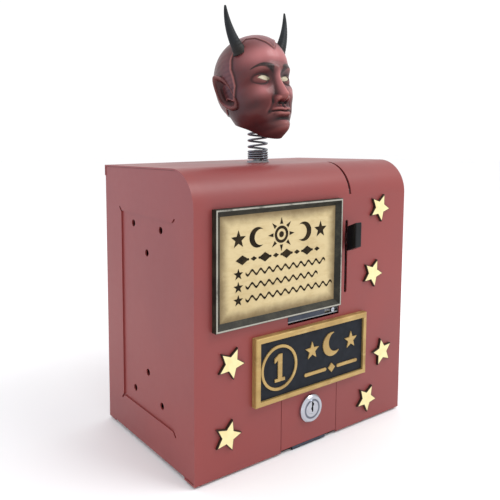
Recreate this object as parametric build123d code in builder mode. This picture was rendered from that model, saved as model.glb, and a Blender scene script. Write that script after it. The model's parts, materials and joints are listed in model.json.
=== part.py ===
"""Mechanical coin bank: a sheet-metal case with a coin slot, a press lever that issues a card,
a locked coin door and a horned head that nods on a coil spring.

Frame: origin at the centre of the base plate's underside, +Z up, front towards -Y, millimetres.
"""

import os
from math import atan, atan2, cos, degrees, radians, sin, tan

from build123d import *

os.makedirs("parts", exist_ok=True)

# ---------------------------------------------------------------- driving dimensions
case_width = 222.0
case_depth = 142.0
rear_height = 226.0  # top of the case at its rear edge
top_rise = 4.5  # the top is this much higher at the front
front_bend = 28.0  # outer radius between the top and the front
rear_foot_bend = 6.0  # outer radius at the lower rear edge
front_foot_bend = 2.5  # outer radius at the lower front edge
sheet = 1.2  # case sheet thickness
seam = 0.25  # gap at the visible seams of the case
flange = 9.0  # depth of the side panels' turned-in edges
front_lip = 14.0  # depth of the front sheet's edge turned in under the case
rear_lip = 12.0
base_thickness = 2.0
base_inset = 4.0  # base plate's edge behind the case's faces
screw_radius = 1.5
screw_head_radius = 2.9
screw_play = 0.2

window_width = 83.0  # side window
window_low = 31.5
window_drop = 36.0  # below the case's rear top
relief_length = 9.0  # diagonal slot at each window corner
relief_width = 1.8
infill_overlap = 6.0
side_hole_radius = 2.8
side_hole_spacing = 44.0
pair_margins = (12.9, 8.2)  # paired holes above the window's foot and below its top
single_margins = (33.0, 29.0)  # single holes likewise

sign_width = 124.6
sign_height = 88.7
sign_x = -33.5
sign_z = 157.7
sign_depth = 5.0
sign_lip = 1.5  # bright front edge of the frame
sign_border = 5.6  # from the frame's outside to the card's visible edge
card_board = 1.6  # thickness of the sign's card
card_margin = 2.5  # card's hidden edge on each side
fit_gap = 0.2  # gap round pieces laid in a pocket

plate_width = 120.0
plate_height = 54.0
plate_x = 0.6
plate_z = 75.0
plate_depth = 5.2
plate_border = 4.2
plate_recess = 1.8  # field below the frame's front
relief_height = 0.9

star_radius = 12.6
star_waist = 6.0
star_depth = 2.4
stars = (  # x, z and turn in degrees
    (76.8, 190.4, 47.0),
    (70.0, 133.9, 47.0),
    (84.7, 60.7, 11.0),
    (66.0, 22.2, 40.0),
    (-80.0, 87.4, 45.0),
    (-82.8, 32.8, 53.0),
)

door_width = 60.0
door_top = 46.8
door_gap = 0.5
hinge_radius = 1.4
hinge_pin_radius = 0.8
hinge_length = 36.0
hinge_height = 1.9  # hinge axis above the floor
knuckle_length = 14.0  # the door's own knuckle
knuckle_gap = 0.2
leaf = 0.8  # hinge leaf thickness

lock_z = 31.5
lock_face_radius = 11.5
lock_face_depth = 3.2
lock_barrel_radius = 9.4
lock_barrel_length = 17.0
lock_plug_radius = 6.0
lock_plug_rise = 2.0  # plug above the barrel's centre
lock_plug_nose = 0.4
lock_square = 6.0  # the plug's square tail
lock_cam_length = 24.0
lock_cam_width = 12.0
lock_cam_thickness = 2.0
running = 0.05  # radial clearance of turning fits
part_gap = 0.3  # clearance between pieces that pass each other

lever_x = 38.4  # middle of the lever's plane
lever_thickness = 2.0
lever_arm_height = 8.0
lever_reach = 70.0  # pivot to the front sheet
lever_pivot_z = 144.0
lever_rest = 18.5  # degrees above level
lever_pressed = 10.5  # degrees below level
lever_slot_width = 3.0
lever_slot_low = 121.5
lever_slot_high = 183.0
shaft_radius = 3.0
shaft_shoulder = 2.0
clip_groove = 0.9
lever_tail = 25.0  # pivot to the tail pin
pin_radius = 1.5
pin_play = 0.6  # play of a pin in a slot
knob_width = 6.8
knob_height = 20.6
knob_depth = 10.6
knob_slope = 24.0  # degrees, upwards to the front
knob_stand_off = 3.2  # knob's back in front of the case
knob_drop = 11.0  # knob's rear foot below the arm's middle

crank_spacing = 51.0  # lever pivot to crank pivot
crank_drop = 39.5  # crank pivot to the pusher pin
crank_thickness = 2.0
bearing_plate_x = 46.0  # left face of the bearing plate
bearing_plate_thickness = 1.5
spring_reach = 35.0  # lever pivot to the return spring's pin
spring_anchor_y = -30.0
spring_anchor_rise = 54.0  # above the lever pivot
return_wire = 0.8
return_radius = 2.0

card_width = 54.0
card_length = 88.0
card_thickness = 0.6
card_x = 3.4  # middle of the cards
card_z = 107.05  # underside of the lowest card
card_set_back = 5.0  # cards' front edge behind the case's front
stack_height = 22.0
magazine_wall = 0.8
magazine_play = 0.4
magazine_headroom = 26.0
weight_thickness = 5.0
exit_low = 104.8
exit_high = 111.5
exit_width = 56.0
gate_width = 39.0
gate_thickness = 1.4

coin_x = 42.0
coin_slot_width = 2.4
coin_slot_drop = 26.2  # slot's foot below the front's top
coin_slot_run = 28.0  # slot's rear end behind the front
coin_diameter = 19.05
chute_play = 3.0
chute_gap = 3.1
chute_wall = 0.7
chute_low = 60.0
bin_left = -46.0
bin_right = 52.0
bin_rear = 38.0
bin_height = 44.0
bin_wall = 1.0

wire = 1.8  # head spring
coil_radius = 8.1
closed_turns = 4
closed_pitch = 1.95
open_pitch = 5.4
segment_turns = 1.25
post_radius = 4.0
post_height = 11.0
washer_thickness = 1.5
head_height = 24.0  # head's origin above the deck
head_tilt = 16.0  # degrees, face turned upwards
horn_root_radius = 6.0
horn_tip_radius = 0.8
horn_length = 41.0
horn_turn = 34.0  # degrees the horn curls through

# ---------------------------------------------------------------- worked-out places
half_w = case_width / 2
half_d = case_depth / 2
front_y = -half_d
inner_front_y = front_y + sheet
shell_low = base_thickness
panel_face = half_w - 2 * seam  # outer face of the side panel
base_hole_x = panel_face - sheet - flange / 2
base_hole_y = half_d - front_lip / 2 - 1
front_height = rear_height + top_rise
deck_slope = degrees(atan(top_rise / case_depth))
deck_z = rear_height + top_rise / 2
front_plane = Plane(origin=(0, front_y, 0), x_dir=(1, 0, 0), z_dir=(0, -1, 0))
rear_plane = Plane(origin=(0, half_d, 0), x_dir=(-1, 0, 0), z_dir=(0, 1, 0))


def case_profile(inset):
    """The case's outline from the side, taken in by inset all round."""
    with BuildSketch(Plane.YZ) as profile:
        with BuildLine():
            Polyline(
                (half_d, shell_low),
                (half_d, rear_height),
                (front_y, front_height),
                (front_y, shell_low),
                close=True,
            )
        make_face()
        feet = profile.vertices().group_by(Axis.Y)[0].sort_by(Axis.X)
        top_corner = profile.vertices().sort_by(Axis.Y)[-1]
        fillet(top_corner, front_bend)
        fillet(feet[0], front_foot_bend)
        fillet(feet[-1], rear_foot_bend)
        if inset:
            offset(amount=-inset, mode=Mode.REPLACE)
    return profile.sketch


def front_rectangle(x, z, width, height, start=0.0):
    """A rectangle parallel to the front, start in front of it."""
    with BuildSketch(front_plane.offset(start)) as outline:
        with Locations((x, z)):
            Rectangle(width, height)
    return outline.sketch


def front_disc(x, z, radius, start=0.0):
    """A disc parallel to the front, start in front of it."""
    with BuildSketch(front_plane.offset(start)) as outline:
        with Locations((x, z)):
            Circle(radius)
    return outline.sketch


def side_disc(x, y, z, radius):
    """A disc facing +X."""
    with BuildSketch(Plane.YZ.offset(x)) as outline:
        with Locations((y, z)):
            Circle(radius)
    return outline.sketch


written = []


def write(part, name):
    """Writes one sub-part, labelled, as parts/NAME.step."""
    part.label = name
    export_step(part, f"parts/{name}.step")
    written.append(name)


# ---------------------------------------------------------------- case
opening_width = door_width + 2 * door_gap
opening_top = door_top + door_gap
exit_z = (exit_low + exit_high) / 2
exit_height = exit_high - exit_low

with BuildPart() as case_wrap:
    extrude(case_profile(0), amount=half_w, both=True)
    extrude(case_profile(sheet), amount=half_w + 1, both=True, mode=Mode.SUBTRACT)
    # the rear is a cover of its own, below a turned-down edge, and the foot is open between its lips
    with BuildSketch(Plane.YZ):
        with Locations((half_d - rear_lip, 0)):
            Rectangle(case_depth, rear_height - flange, align=(Align.MIN, Align.MIN))
        with Locations((front_y + front_lip, 0)):
            Rectangle(case_depth, shell_low + 2 * sheet, align=(Align.MIN, Align.MIN))
    extrude(amount=half_w + 1, both=True, mode=Mode.SUBTRACT)
    # coin door opening, through the front and its lip
    extrude(
        front_rectangle(0, opening_top / 2, opening_width, opening_top),
        amount=-front_lip - 1,
        mode=Mode.SUBTRACT,
    )
    # card exit
    extrude(
        front_rectangle(card_x, exit_z, exit_width, exit_height), amount=-2 * sheet, mode=Mode.SUBTRACT
    )
    # lever slot
    with BuildSketch(front_plane):
        with Locations((lever_x, (lever_slot_low + lever_slot_high) / 2)):
            SlotOverall(lever_slot_high - lever_slot_low, lever_slot_width, rotation=90)
    extrude(amount=-2 * sheet, mode=Mode.SUBTRACT)
    # coin slot, cut over the bend from the front to the top
    with BuildSketch(Plane.YZ.offset(coin_x)):
        with Locations((front_y + coin_slot_run, front_height - coin_slot_drop)):
            Rectangle(case_depth, case_depth, align=(Align.MAX, Align.MIN))
    extrude(amount=coin_slot_width / 2, both=True, mode=Mode.SUBTRACT)
    # hole for the head's post
    with Locations(Location((0, 0, deck_z))):
        Cylinder(post_radius + screw_play, 4 * sheet, mode=Mode.SUBTRACT)
    # holes for the corner screws, in the front lip
    with BuildSketch(Plane.XY.offset(shell_low)):
        with Locations((-base_hole_x, -base_hole_y), (base_hole_x, -base_hole_y)):
            Circle(screw_radius + screw_play)
    extrude(amount=2 * sheet, mode=Mode.SUBTRACT)
write(case_wrap.part, "case_wrap")

window_high = rear_height - window_drop
window_height = window_high - window_low
window_z = (window_high + window_low) / 2

with BuildPart() as left_side_panel:
    extrude(case_profile(sheet + seam), amount=-panel_face)
    extrude(case_profile(2 * sheet + seam), amount=sheet - panel_face, mode=Mode.SUBTRACT)
    with BuildSketch(Plane.YZ):
        Rectangle(2 * case_depth, 2 * front_height)
    extrude(amount=flange - panel_face, mode=Mode.SUBTRACT)
    with BuildSketch(Plane.YZ.offset(-panel_face)):
        with Locations((0, window_z)):
            Rectangle(window_width, window_height)
        for y in (-window_width / 2, window_width / 2):
            for z in (window_low, window_high):
                with Locations((y, z)):
                    SlotOverall(relief_length, relief_width, rotation=45 if y * (z - window_z) > 0 else -45)
    extrude(amount=sheet, mode=Mode.SUBTRACT)
    with BuildSketch(Plane.XY.offset(shell_low)):
        with Locations((-base_hole_x, -base_hole_y), (-base_hole_x, base_hole_y)):
            Circle(screw_radius)
    extrude(amount=4 * sheet, mode=Mode.SUBTRACT)
write(left_side_panel.part, "left_side_panel")
with BuildPart() as right_side_panel:
    mirror(left_side_panel.part, about=Plane.YZ)
write(right_side_panel.part, "right_side_panel")

pair_rows = (window_low + pair_margins[0], window_high - pair_margins[1])
single_rows = (window_low + single_margins[0], window_high - single_margins[1])
with BuildPart() as left_side_infill:
    with BuildSketch(Plane.YZ.offset(sheet - panel_face)):
        with Locations((0, window_z)):
            RectangleRounded(
                window_width + 2 * infill_overlap, window_height + 2 * infill_overlap, infill_overlap / 2
            )
        for z in pair_rows:
            with Locations((-side_hole_spacing / 2, z), (side_hole_spacing / 2, z)):
                Circle(side_hole_radius, mode=Mode.SUBTRACT)
        for z in single_rows:
            with Locations((0, z)):
                Circle(side_hole_radius, mode=Mode.SUBTRACT)
    extrude(amount=sheet)
write(left_side_infill.part, "left_side_infill")
with BuildPart() as right_side_infill:
    mirror(left_side_infill.part, about=Plane.YZ)
write(right_side_infill.part, "right_side_infill")

# rear cover: a flat sheet with its lower edge rolled under, screwed to the side panels
cover_half = panel_face - seam
cover_top = rear_height - flange - seam
cover_screw_x = cover_half - flange / 2
cover_screw_z = (24.0, rear_height / 2, cover_top - 14.0)
screw_head = 1.6


def cover_circles(radius, start=0.0):
    """A circle at each of the rear cover's screws."""
    with BuildSketch(rear_plane.offset(start)) as circles:
        for z in cover_screw_z:
            with Locations((-cover_screw_x, z), (cover_screw_x, z)):
                Circle(radius)
    return circles.sketch


with BuildPart() as rear_cover:
    extrude(case_profile(0), amount=cover_half, both=True)
    extrude(case_profile(sheet), amount=cover_half + 1, both=True, mode=Mode.SUBTRACT)
    with BuildSketch(Plane.YZ):
        with Locations((0, cover_top)):
            Rectangle(2 * case_depth, front_height, align=(Align.CENTER, Align.MIN))
        with Locations((half_d - rear_lip, 0)):
            Rectangle(2 * case_depth, 2 * front_height, align=(Align.MAX, Align.CENTER))
    extrude(amount=half_w, both=True, mode=Mode.SUBTRACT)
    extrude(cover_circles(screw_radius + screw_play), amount=-2 * sheet, mode=Mode.SUBTRACT)
    with BuildSketch(Plane.XY.offset(shell_low)):
        with Locations((-base_hole_x, base_hole_y), (base_hole_x, base_hole_y)):
            Circle(screw_radius + screw_play)
    extrude(amount=2 * sheet, mode=Mode.SUBTRACT)
write(rear_cover.part, "rear_cover")

with BuildPart() as rear_cover_screws:
    extrude(cover_circles(screw_head_radius), amount=screw_head)
    fillet(rear_cover_screws.edges().group_by(Axis.Y)[-1], 1.0)
    extrude(cover_circles(screw_radius), amount=-sheet - seam / 2)
    with BuildSketch(rear_plane.offset(screw_head)):
        for z in cover_screw_z:
            with Locations((-cover_screw_x, z), (cover_screw_x, z)):
                Rectangle(3.4, 0.7)
                Rectangle(0.7, 3.4)
    extrude(amount=-0.9, mode=Mode.SUBTRACT)
write(rear_cover_screws.part, "rear_cover_screws")

# ---------------------------------------------------------------- base
base_width = case_width - 2 * base_inset
base_depth = case_depth - 2 * base_inset
post_y = 44.0  # magazine post
foot_depth = 12.0
post_width = 36.0
bearing_foot = 13.0
bearing_rear = half_d - rear_lip - 1
bearing_leg_front = bin_rear + 1
bearing_foot_y = (bearing_rear + bearing_leg_front) / 2
foot_screws = (
    (card_x - post_width / 3, post_y + foot_depth / 2),
    (card_x + post_width / 3, post_y + foot_depth / 2),
    (bearing_plate_x + bearing_foot / 2 + 1, bearing_foot_y),
)
corner_screws = [(x, y) for x in (-base_hole_x, base_hole_x) for y in (-base_hole_y, base_hole_y)]
head_sink = 0.25  # screw heads below the plate's underside

with BuildPart() as base_plate:
    with BuildSketch():
        RectangleRounded(base_width, base_depth, 5)
    extrude(amount=base_thickness)
    with Locations(*[Location((x, y, 0), (180, 0, 0)) for x, y in (*corner_screws, *foot_screws)]):
        CounterSinkHole(screw_radius + screw_play, screw_head_radius + 2 * head_sink, base_thickness + 1, 90)
write(base_plate.part, "base_plate")

with BuildPart() as base_screws:
    with Locations(*[(x, y, head_sink) for x, y in corner_screws]):
        Cylinder(screw_radius, shell_low + 3 * sheet, align=(Align.CENTER, Align.CENTER, Align.MIN))
    with Locations(*[(x, y, head_sink) for x, y in foot_screws]):
        Cylinder(screw_radius, base_thickness + sheet, align=(Align.CENTER, Align.CENTER, Align.MIN))
    with Locations(*[(x, y, head_sink) for x, y in (*corner_screws, *foot_screws)]):
        Cone(
            screw_head_radius,
            screw_radius,
            screw_head_radius - screw_radius,
            align=(Align.CENTER, Align.CENTER, Align.MIN),
        )
write(base_screws.part, "base_screws")

# ---------------------------------------------------------------- sign
sign_bevel = sign_depth - card_board
bevel_taper = degrees(atan((sign_border - sign_lip) / sign_bevel))
pocket_width = sign_width - 2 * sign_border + 2 * card_margin
pocket_height = sign_height - 2 * sign_border + 2 * card_margin
with BuildPart() as sign_frame:
    extrude(front_rectangle(sign_x, sign_z, sign_width, sign_height), amount=sign_depth)
    fillet(sign_frame.edges().group_by(Axis.Y)[0], 0.5)
    extrude(
        front_rectangle(
            sign_x, sign_z, sign_width - 2 * sign_lip, sign_height - 2 * sign_lip, sign_depth
        ),
        amount=-sign_bevel,
        taper=bevel_taper,
        mode=Mode.SUBTRACT,
    )
    extrude(
        front_rectangle(sign_x, sign_z, pocket_width, pocket_height),
        amount=card_board,
        mode=Mode.SUBTRACT,
    )
write(sign_frame.part, "sign_frame")

with BuildPart() as sign_card:
    extrude(
        front_rectangle(sign_x, sign_z, pocket_width - 2 * fit_gap, pocket_height - 2 * fit_gap),
        amount=card_board,
    )
write(sign_card.part, "sign_card")

# ---------------------------------------------------------------- name plate
field_front = plate_depth - plate_recess
field_width = plate_width - 2 * plate_border
field_height = plate_height - 2 * plate_border
with BuildPart() as name_plate_frame:
    extrude(front_rectangle(plate_x, plate_z, plate_width, plate_height), amount=plate_depth)
    fillet(name_plate_frame.edges().group_by(Axis.Y)[0], 1.4)
    extrude(
        front_rectangle(plate_x, plate_z, field_width, field_height),
        amount=plate_depth,
        mode=Mode.SUBTRACT,
    )
write(name_plate_frame.part, "name_plate_frame")

with BuildPart() as name_plate_field:
    extrude(
        front_rectangle(plate_x, plate_z, field_width - 2 * fit_gap, field_height - 2 * fit_gap),
        amount=field_front,
    )
write(name_plate_field.part, "name_plate_field")


def star_points(radius, waist, turn):
    """Corners of a five-pointed star, turned anticlockwise from upright."""
    angles = [radians(90 + turn + 36 * k) for k in range(10)]
    reach = [(radius, waist)[k % 2] for k in range(10)]
    return [(r * cos(a), r * sin(a)) for r, a in zip(reach, angles)]


coin_mark = (plate_x - 36.6, plate_z)
motif_x = plate_x + 19.4
rule_z = plate_z - 13.0
with BuildPart() as name_plate_relief:
    with BuildSketch(front_plane.offset(field_front)):
        # a coin with a numeral
        with Locations(coin_mark):
            Circle(18.0)
            Circle(15.8, mode=Mode.SUBTRACT)
        with BuildLine(Location(coin_mark)):
            Polyline(
                (-1.6, -8.6),
                (-1.6, 6.2),
                (-5.0, 4.2),
                (-5.0, 7.6),
                (-0.6, 10.8),
                (2.6, 10.8),
                (2.6, -8.6),
                (5.4, -8.6),
                (5.4, -11.0),
                (-4.6, -11.0),
                (-4.6, -8.6),
                close=True,
            )
        make_face()
        # a crescent between two stars, over a rule with a lozenge
        with Locations((motif_x, plate_z + 7.0)):
            Circle(10.0)
        with Locations((motif_x + 4.6, plate_z + 8.6)):
            Circle(8.4, mode=Mode.SUBTRACT)
        for side in (-1, 1):
            with Locations((motif_x + side * 22.0, plate_z + 6.0)):
                Polygon(*star_points(7.4, 3.1, 0.0), align=None)
            with Locations((motif_x + side * 18.0, rule_z)):
                SlotOverall(24.0, 2.6)
        with Locations((motif_x, rule_z)):
            Rectangle(5.4, 5.4, rotation=45)
    extrude(amount=relief_height)
write(name_plate_relief.part, "name_plate_relief")

for number, (star_x, star_z, star_turn) in enumerate(stars, 1):
    with BuildPart() as star:
        with BuildSketch(front_plane):
            with Locations((star_x, star_z)):
                Polygon(*star_points(star_radius, star_waist, star_turn), align=None)
        extrude(amount=star_depth)
    write(star.part, f"star_{number}")

# ---------------------------------------------------------------- coin door and its hinge
hinge_y = front_y + hinge_radius
hinge_z = hinge_height
door_low = hinge_z + hinge_radius + 0.4
door_height = door_top - door_low
hinge_plane = Plane(origin=(0, hinge_y, hinge_z), x_dir=(0, 1, 0), z_dir=(1, 0, 0))


def hinge_ring(start):
    """Section of the hinge's barrel, bored for the pin."""
    with BuildSketch(hinge_plane.offset(start)) as ring:
        Circle(hinge_radius)
        Circle(hinge_pin_radius + running, mode=Mode.SUBTRACT)
    return ring.sketch


with BuildPart() as coin_door:
    extrude(front_rectangle(0, door_low + door_height / 2, door_width, door_height), amount=-sheet)
    extrude(front_disc(0, lock_z, lock_barrel_radius + 0.1), amount=-2 * sheet, mode=Mode.SUBTRACT)
write(coin_door.part, "coin_door")

nut_across = 2 * lock_barrel_radius + 5.0
leaf_top = lock_z - nut_across / 2 - 2.5
with BuildPart() as door_hinge_leaf:
    extrude(hinge_ring(-knuckle_length / 2), amount=knuckle_length)
    with BuildSketch(Plane.YZ):
        with Locations((inner_front_y, hinge_z + hinge_pin_radius + running)):
            Rectangle(leaf, leaf_top - hinge_z, align=(Align.MIN, Align.MIN))
    extrude(amount=knuckle_length / 2, both=True)
write(door_hinge_leaf.part, "door_hinge_leaf")

outer_start = knuckle_length / 2 + knuckle_gap
outer_length = hinge_length / 2 - outer_start
base_front_y = -base_depth / 2
with BuildPart() as door_hinge_fixed_leaf:
    extrude(hinge_ring(outer_start), amount=outer_length)
    extrude(hinge_ring(-outer_start), amount=-outer_length)
    with BuildSketch(Plane.XY.offset(base_thickness)):
        with Locations((0, base_front_y + 3)):
            Rectangle(hinge_length, 6, align=(Align.CENTER, Align.MIN))
        for side in (-1, 1):
            with Locations((side * (outer_start + outer_length / 2), hinge_y)):
                Rectangle(outer_length, base_front_y + 4 - hinge_y, align=(Align.CENTER, Align.MIN))
    extrude(amount=leaf)
    with BuildSketch(hinge_plane):
        Circle(hinge_pin_radius + running)
    extrude(amount=hinge_length, both=True, mode=Mode.SUBTRACT)
write(door_hinge_fixed_leaf.part, "door_hinge_fixed_leaf")

with BuildPart() as door_hinge_pin:
    with BuildSketch(hinge_plane):
        Circle(hinge_pin_radius)
    extrude(amount=hinge_length / 2 + 0.3, both=True)
write(door_hinge_pin.part, "door_hinge_pin")

# ---------------------------------------------------------------- cam lock
plug_z = lock_z + lock_plug_rise
plug_front = lock_face_depth + lock_plug_nose
tail_start = -lock_barrel_length - part_gap
with BuildPart() as lock_barrel:
    extrude(front_disc(0, lock_z, lock_face_radius), amount=lock_face_depth)
    chamfer(lock_barrel.edges().group_by(Axis.Y)[0], 1.1)
    extrude(front_disc(0, lock_z, lock_barrel_radius), amount=-lock_barrel_length)
    extrude(
        front_disc(0, plug_z, lock_plug_radius + running, plug_front),
        amount=-lock_barrel_length - plug_front - 1,
        mode=Mode.SUBTRACT,
    )
write(lock_barrel.part, "lock_barrel")

with BuildPart() as lock_nut:
    with BuildSketch(front_plane.offset(-sheet)):
        with Locations((0, lock_z)):
            RegularPolygon(nut_across / 2, 6, major_radius=False)
            Circle(lock_barrel_radius + 0.1, mode=Mode.SUBTRACT)
    extrude(amount=-4.0)
write(lock_nut.part, "lock_nut")

with BuildPart() as lock_plug:
    extrude(front_disc(0, plug_z, lock_plug_radius, plug_front), amount=tail_start - plug_front)
    chamfer(lock_plug.edges().group_by(Axis.Y)[0], 0.4)
    extrude(
        front_rectangle(0, plug_z, lock_square, lock_square, tail_start), amount=-lock_cam_thickness
    )
    # stepped keyway
    with BuildSketch(front_plane.offset(plug_front)):
        with Locations((0, plug_z)):
            Rectangle(1.5, 8.6)
        with Locations((0.8, plug_z + 1.8)):
            Rectangle(1.3, 2.2)
        with Locations((-0.8, plug_z - 1.4)):
            Rectangle(1.3, 2.0)
    extrude(amount=-12, mode=Mode.SUBTRACT)
write(lock_plug.part, "lock_plug")

with BuildPart() as lock_cam:
    with BuildSketch(front_plane.offset(tail_start)):
        with Locations((0, plug_z)):
            Circle(lock_cam_width / 2 + 1)
            Rectangle(lock_cam_length, lock_cam_width, align=(Align.MIN, Align.CENTER))
            Rectangle(lock_square + 0.1, lock_square + 0.1, mode=Mode.SUBTRACT)
    extrude(amount=-lock_cam_thickness)
    fillet(lock_cam.edges().filter_by(Axis.Y).sort_by(Axis.X)[-2:], 3)
write(lock_cam.part, "lock_cam")

cam_screw_radius = lock_square / 2 + 1.4
with BuildPart() as lock_cam_screw:
    extrude(front_disc(0, plug_z, cam_screw_radius, tail_start - lock_cam_thickness), amount=-2.0)
    extrude(
        front_rectangle(0, plug_z, 2 * cam_screw_radius, 0.9, tail_start - lock_cam_thickness - 2.0),
        amount=1.2,
        mode=Mode.SUBTRACT,
    )
write(lock_cam_screw.part, "lock_cam_screw")

# a stepped tongue behind the front sheet, which the cam turns up behind
strike_depth = lock_barrel_length + part_gap - sheet - 0.8
strike_low = opening_top + 1.2
with BuildPart() as cam_strike:
    with BuildSketch(Plane.YZ):
        with Locations((inner_front_y, strike_low)):
            Rectangle(sheet, 10, align=(Align.MIN, Align.MIN))
            Rectangle(strike_depth, sheet, align=(Align.MIN, Align.MIN))
        with Locations((inner_front_y + strike_depth, strike_low)):
            Rectangle(sheet, 7, align=(Align.MAX, Align.MIN))
    extrude(amount=10, both=True)
write(cam_strike.part, "cam_strike")

# ---------------------------------------------------------------- bearing plate and shafts
pivot_y = front_y + lever_reach
crank_y = pivot_y + crank_spacing
lever_left = lever_x - lever_thickness / 2
lever_right = lever_x + lever_thickness / 2
crank_right = lever_left - 0.5
crank_left = crank_right - crank_thickness
anchor_z = lever_pivot_z + spring_anchor_rise
bearing_plate_right = bearing_plate_x + bearing_plate_thickness
bearing_low = chute_low + 2
bearing_front = inner_front_y + 6
bearing_top = anchor_z + 10

with BuildPart() as bearing_plate:
    with BuildSketch(Plane.YZ.offset(bearing_plate_x)):
        with BuildLine():
            Polyline(
                (bearing_front, bearing_low),
                (bearing_front, bearing_top - 20),
                (bearing_front + 20, bearing_top),
                (pivot_y + 25, bearing_top),
                (bearing_rear, lever_pivot_z + 25),
                (bearing_rear, base_thickness),
                (bearing_leg_front, base_thickness),
                (bearing_leg_front, bearing_low - 8),
                (bearing_leg_front - 8, bearing_low),
                close=True,
            )
        make_face()
        with Locations((pivot_y + 18, lever_pivot_z - 48)):
            RectangleRounded(46, 50, 6, mode=Mode.SUBTRACT)
        with Locations((pivot_y, lever_pivot_z), (crank_y, lever_pivot_z)):
            Circle(shaft_radius, mode=Mode.SUBTRACT)
        with Locations((spring_anchor_y, anchor_z)):
            Circle(pin_radius, mode=Mode.SUBTRACT)
    extrude(amount=bearing_plate_thickness)
    # a foot turned over the base plate
    with BuildSketch(Plane.XY.offset(base_thickness)):
        with Locations((bearing_plate_x, bearing_foot_y)):
            Rectangle(bearing_foot, bearing_rear - bearing_leg_front, align=(Align.MIN, Align.CENTER))
        with Locations(foot_screws[-1]):
            Circle(screw_radius, mode=Mode.SUBTRACT)
    extrude(amount=bearing_plate_thickness)
write(bearing_plate.part, "bearing_plate")


def shaft(y, tip_x, hub_x):
    """A fixed shaft in the bearing plate, with a shoulder against the plate and a clip groove."""
    with BuildPart() as turned:
        extrude(
            side_disc(bearing_plate_x, y, lever_pivot_z, shaft_radius + shaft_shoulder),
            amount=hub_x - bearing_plate_x,
        )
        extrude(side_disc(tip_x, y, lever_pivot_z, shaft_radius), amount=bearing_plate_right - tip_x)
        with BuildSketch(Plane.YZ.offset(tip_x + 1.0)):
            with Locations((y, lever_pivot_z)):
                Circle(shaft_radius + 1)
                Circle(shaft_radius - 0.6, mode=Mode.SUBTRACT)
        extrude(amount=clip_groove, mode=Mode.SUBTRACT)
    return turned.part


clip_thickness = clip_groove - 0.1
lever_tip_x = lever_left - 0.2 - clip_groove - 1.0
crank_tip_x = crank_left - 0.2 - clip_groove - 1.0
write(shaft(pivot_y, lever_tip_x, lever_right + part_gap), "lever_shaft")
write(shaft(crank_y, crank_tip_x, crank_right + part_gap), "crank_shaft")

with BuildPart() as shaft_clips:
    for shaft_y, tip_x in ((pivot_y, lever_tip_x), (crank_y, crank_tip_x)):
        with BuildSketch(Plane.YZ.offset(tip_x + 1.0 + clip_groove - clip_thickness - 0.05)):
            with Locations((shaft_y, lever_pivot_z)):
                Circle(shaft_radius + 2.0)
                Circle(shaft_radius - 0.55, mode=Mode.SUBTRACT)
            with Locations((shaft_y, lever_pivot_z - shaft_radius)):
                Rectangle(3.4, 2 * shaft_radius, mode=Mode.SUBTRACT)
        extrude(amount=clip_thickness)
write(shaft_clips.part, "shaft_clips")

spring_x = lever_left - return_radius - return_wire / 2 - 0.4
with BuildPart() as spring_anchor_pin:
    extrude(
        side_disc(spring_x - 1.2, spring_anchor_y, anchor_z, pin_radius),
        amount=bearing_plate_right - spring_x + 1.2,
    )
write(spring_anchor_pin.part, "spring_anchor_pin")

# ---------------------------------------------------------------- lever
lever_axis = Axis((0, pivot_y, lever_pivot_z), (1, 0, 0))
crank_axis = Axis((0, crank_y, lever_pivot_z), (1, 0, 0))
knob_rear_y = front_y - knob_stand_off
arm_end = (pivot_y - knob_rear_y + knob_depth / 2) / cos(radians(lever_rest))


def crank_angle(lever_degrees):
    """The crank's turn that keeps its slot on the lever's tail pin."""
    a = radians(lever_degrees)
    return degrees(atan2(lever_tail * sin(a), crank_spacing - lever_tail * cos(a)))


crank_rest = crank_angle(lever_rest)
crank_pressed = crank_angle(lever_pressed)
crank_ratio = -(crank_rest + crank_pressed) / (lever_rest + lever_pressed)
pusher_travel = crank_drop * (sin(radians(crank_rest)) + sin(radians(crank_pressed)))

half_arm = lever_arm_height / 2
with BuildPart() as level_arm:
    with BuildSketch(Plane.YZ.offset(lever_left)):
        with BuildLine():
            Polyline(
                (pivot_y, lever_pivot_z + half_arm + 2.5),
                (pivot_y - 20, lever_pivot_z + half_arm),
                (pivot_y - arm_end, lever_pivot_z + half_arm),
                (pivot_y - arm_end, lever_pivot_z - half_arm),
                (pivot_y - 20, lever_pivot_z - half_arm),
                (pivot_y, lever_pivot_z - half_arm - 2.5),
                (pivot_y + lever_tail + 4, lever_pivot_z - half_arm),
                (pivot_y + lever_tail + 4, lever_pivot_z + half_arm),
                close=True,
            )
        make_face()
        with Locations((pivot_y, lever_pivot_z)):
            Circle(shaft_radius + 4.5)
            Circle(shaft_radius + running, mode=Mode.SUBTRACT)
        with Locations((pivot_y + lever_tail, lever_pivot_z), (pivot_y - spring_reach, lever_pivot_z)):
            Circle(pin_radius, mode=Mode.SUBTRACT)
    extrude(amount=lever_thickness)
lever_arm = level_arm.part.rotate(lever_axis, -lever_rest)
write(lever_arm, "lever_arm")

with BuildPart() as lever_pins:
    extrude(
        side_disc(crank_left - 0.6, pivot_y + lever_tail, lever_pivot_z, pin_radius),
        amount=lever_right - crank_left + 0.6,
    )
    extrude(
        side_disc(spring_x - 1.2, pivot_y - spring_reach, lever_pivot_z, pin_radius),
        amount=lever_right - spring_x + 1.2,
    )
write(lever_pins.part.rotate(lever_axis, -lever_rest), "lever_pins")

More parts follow.
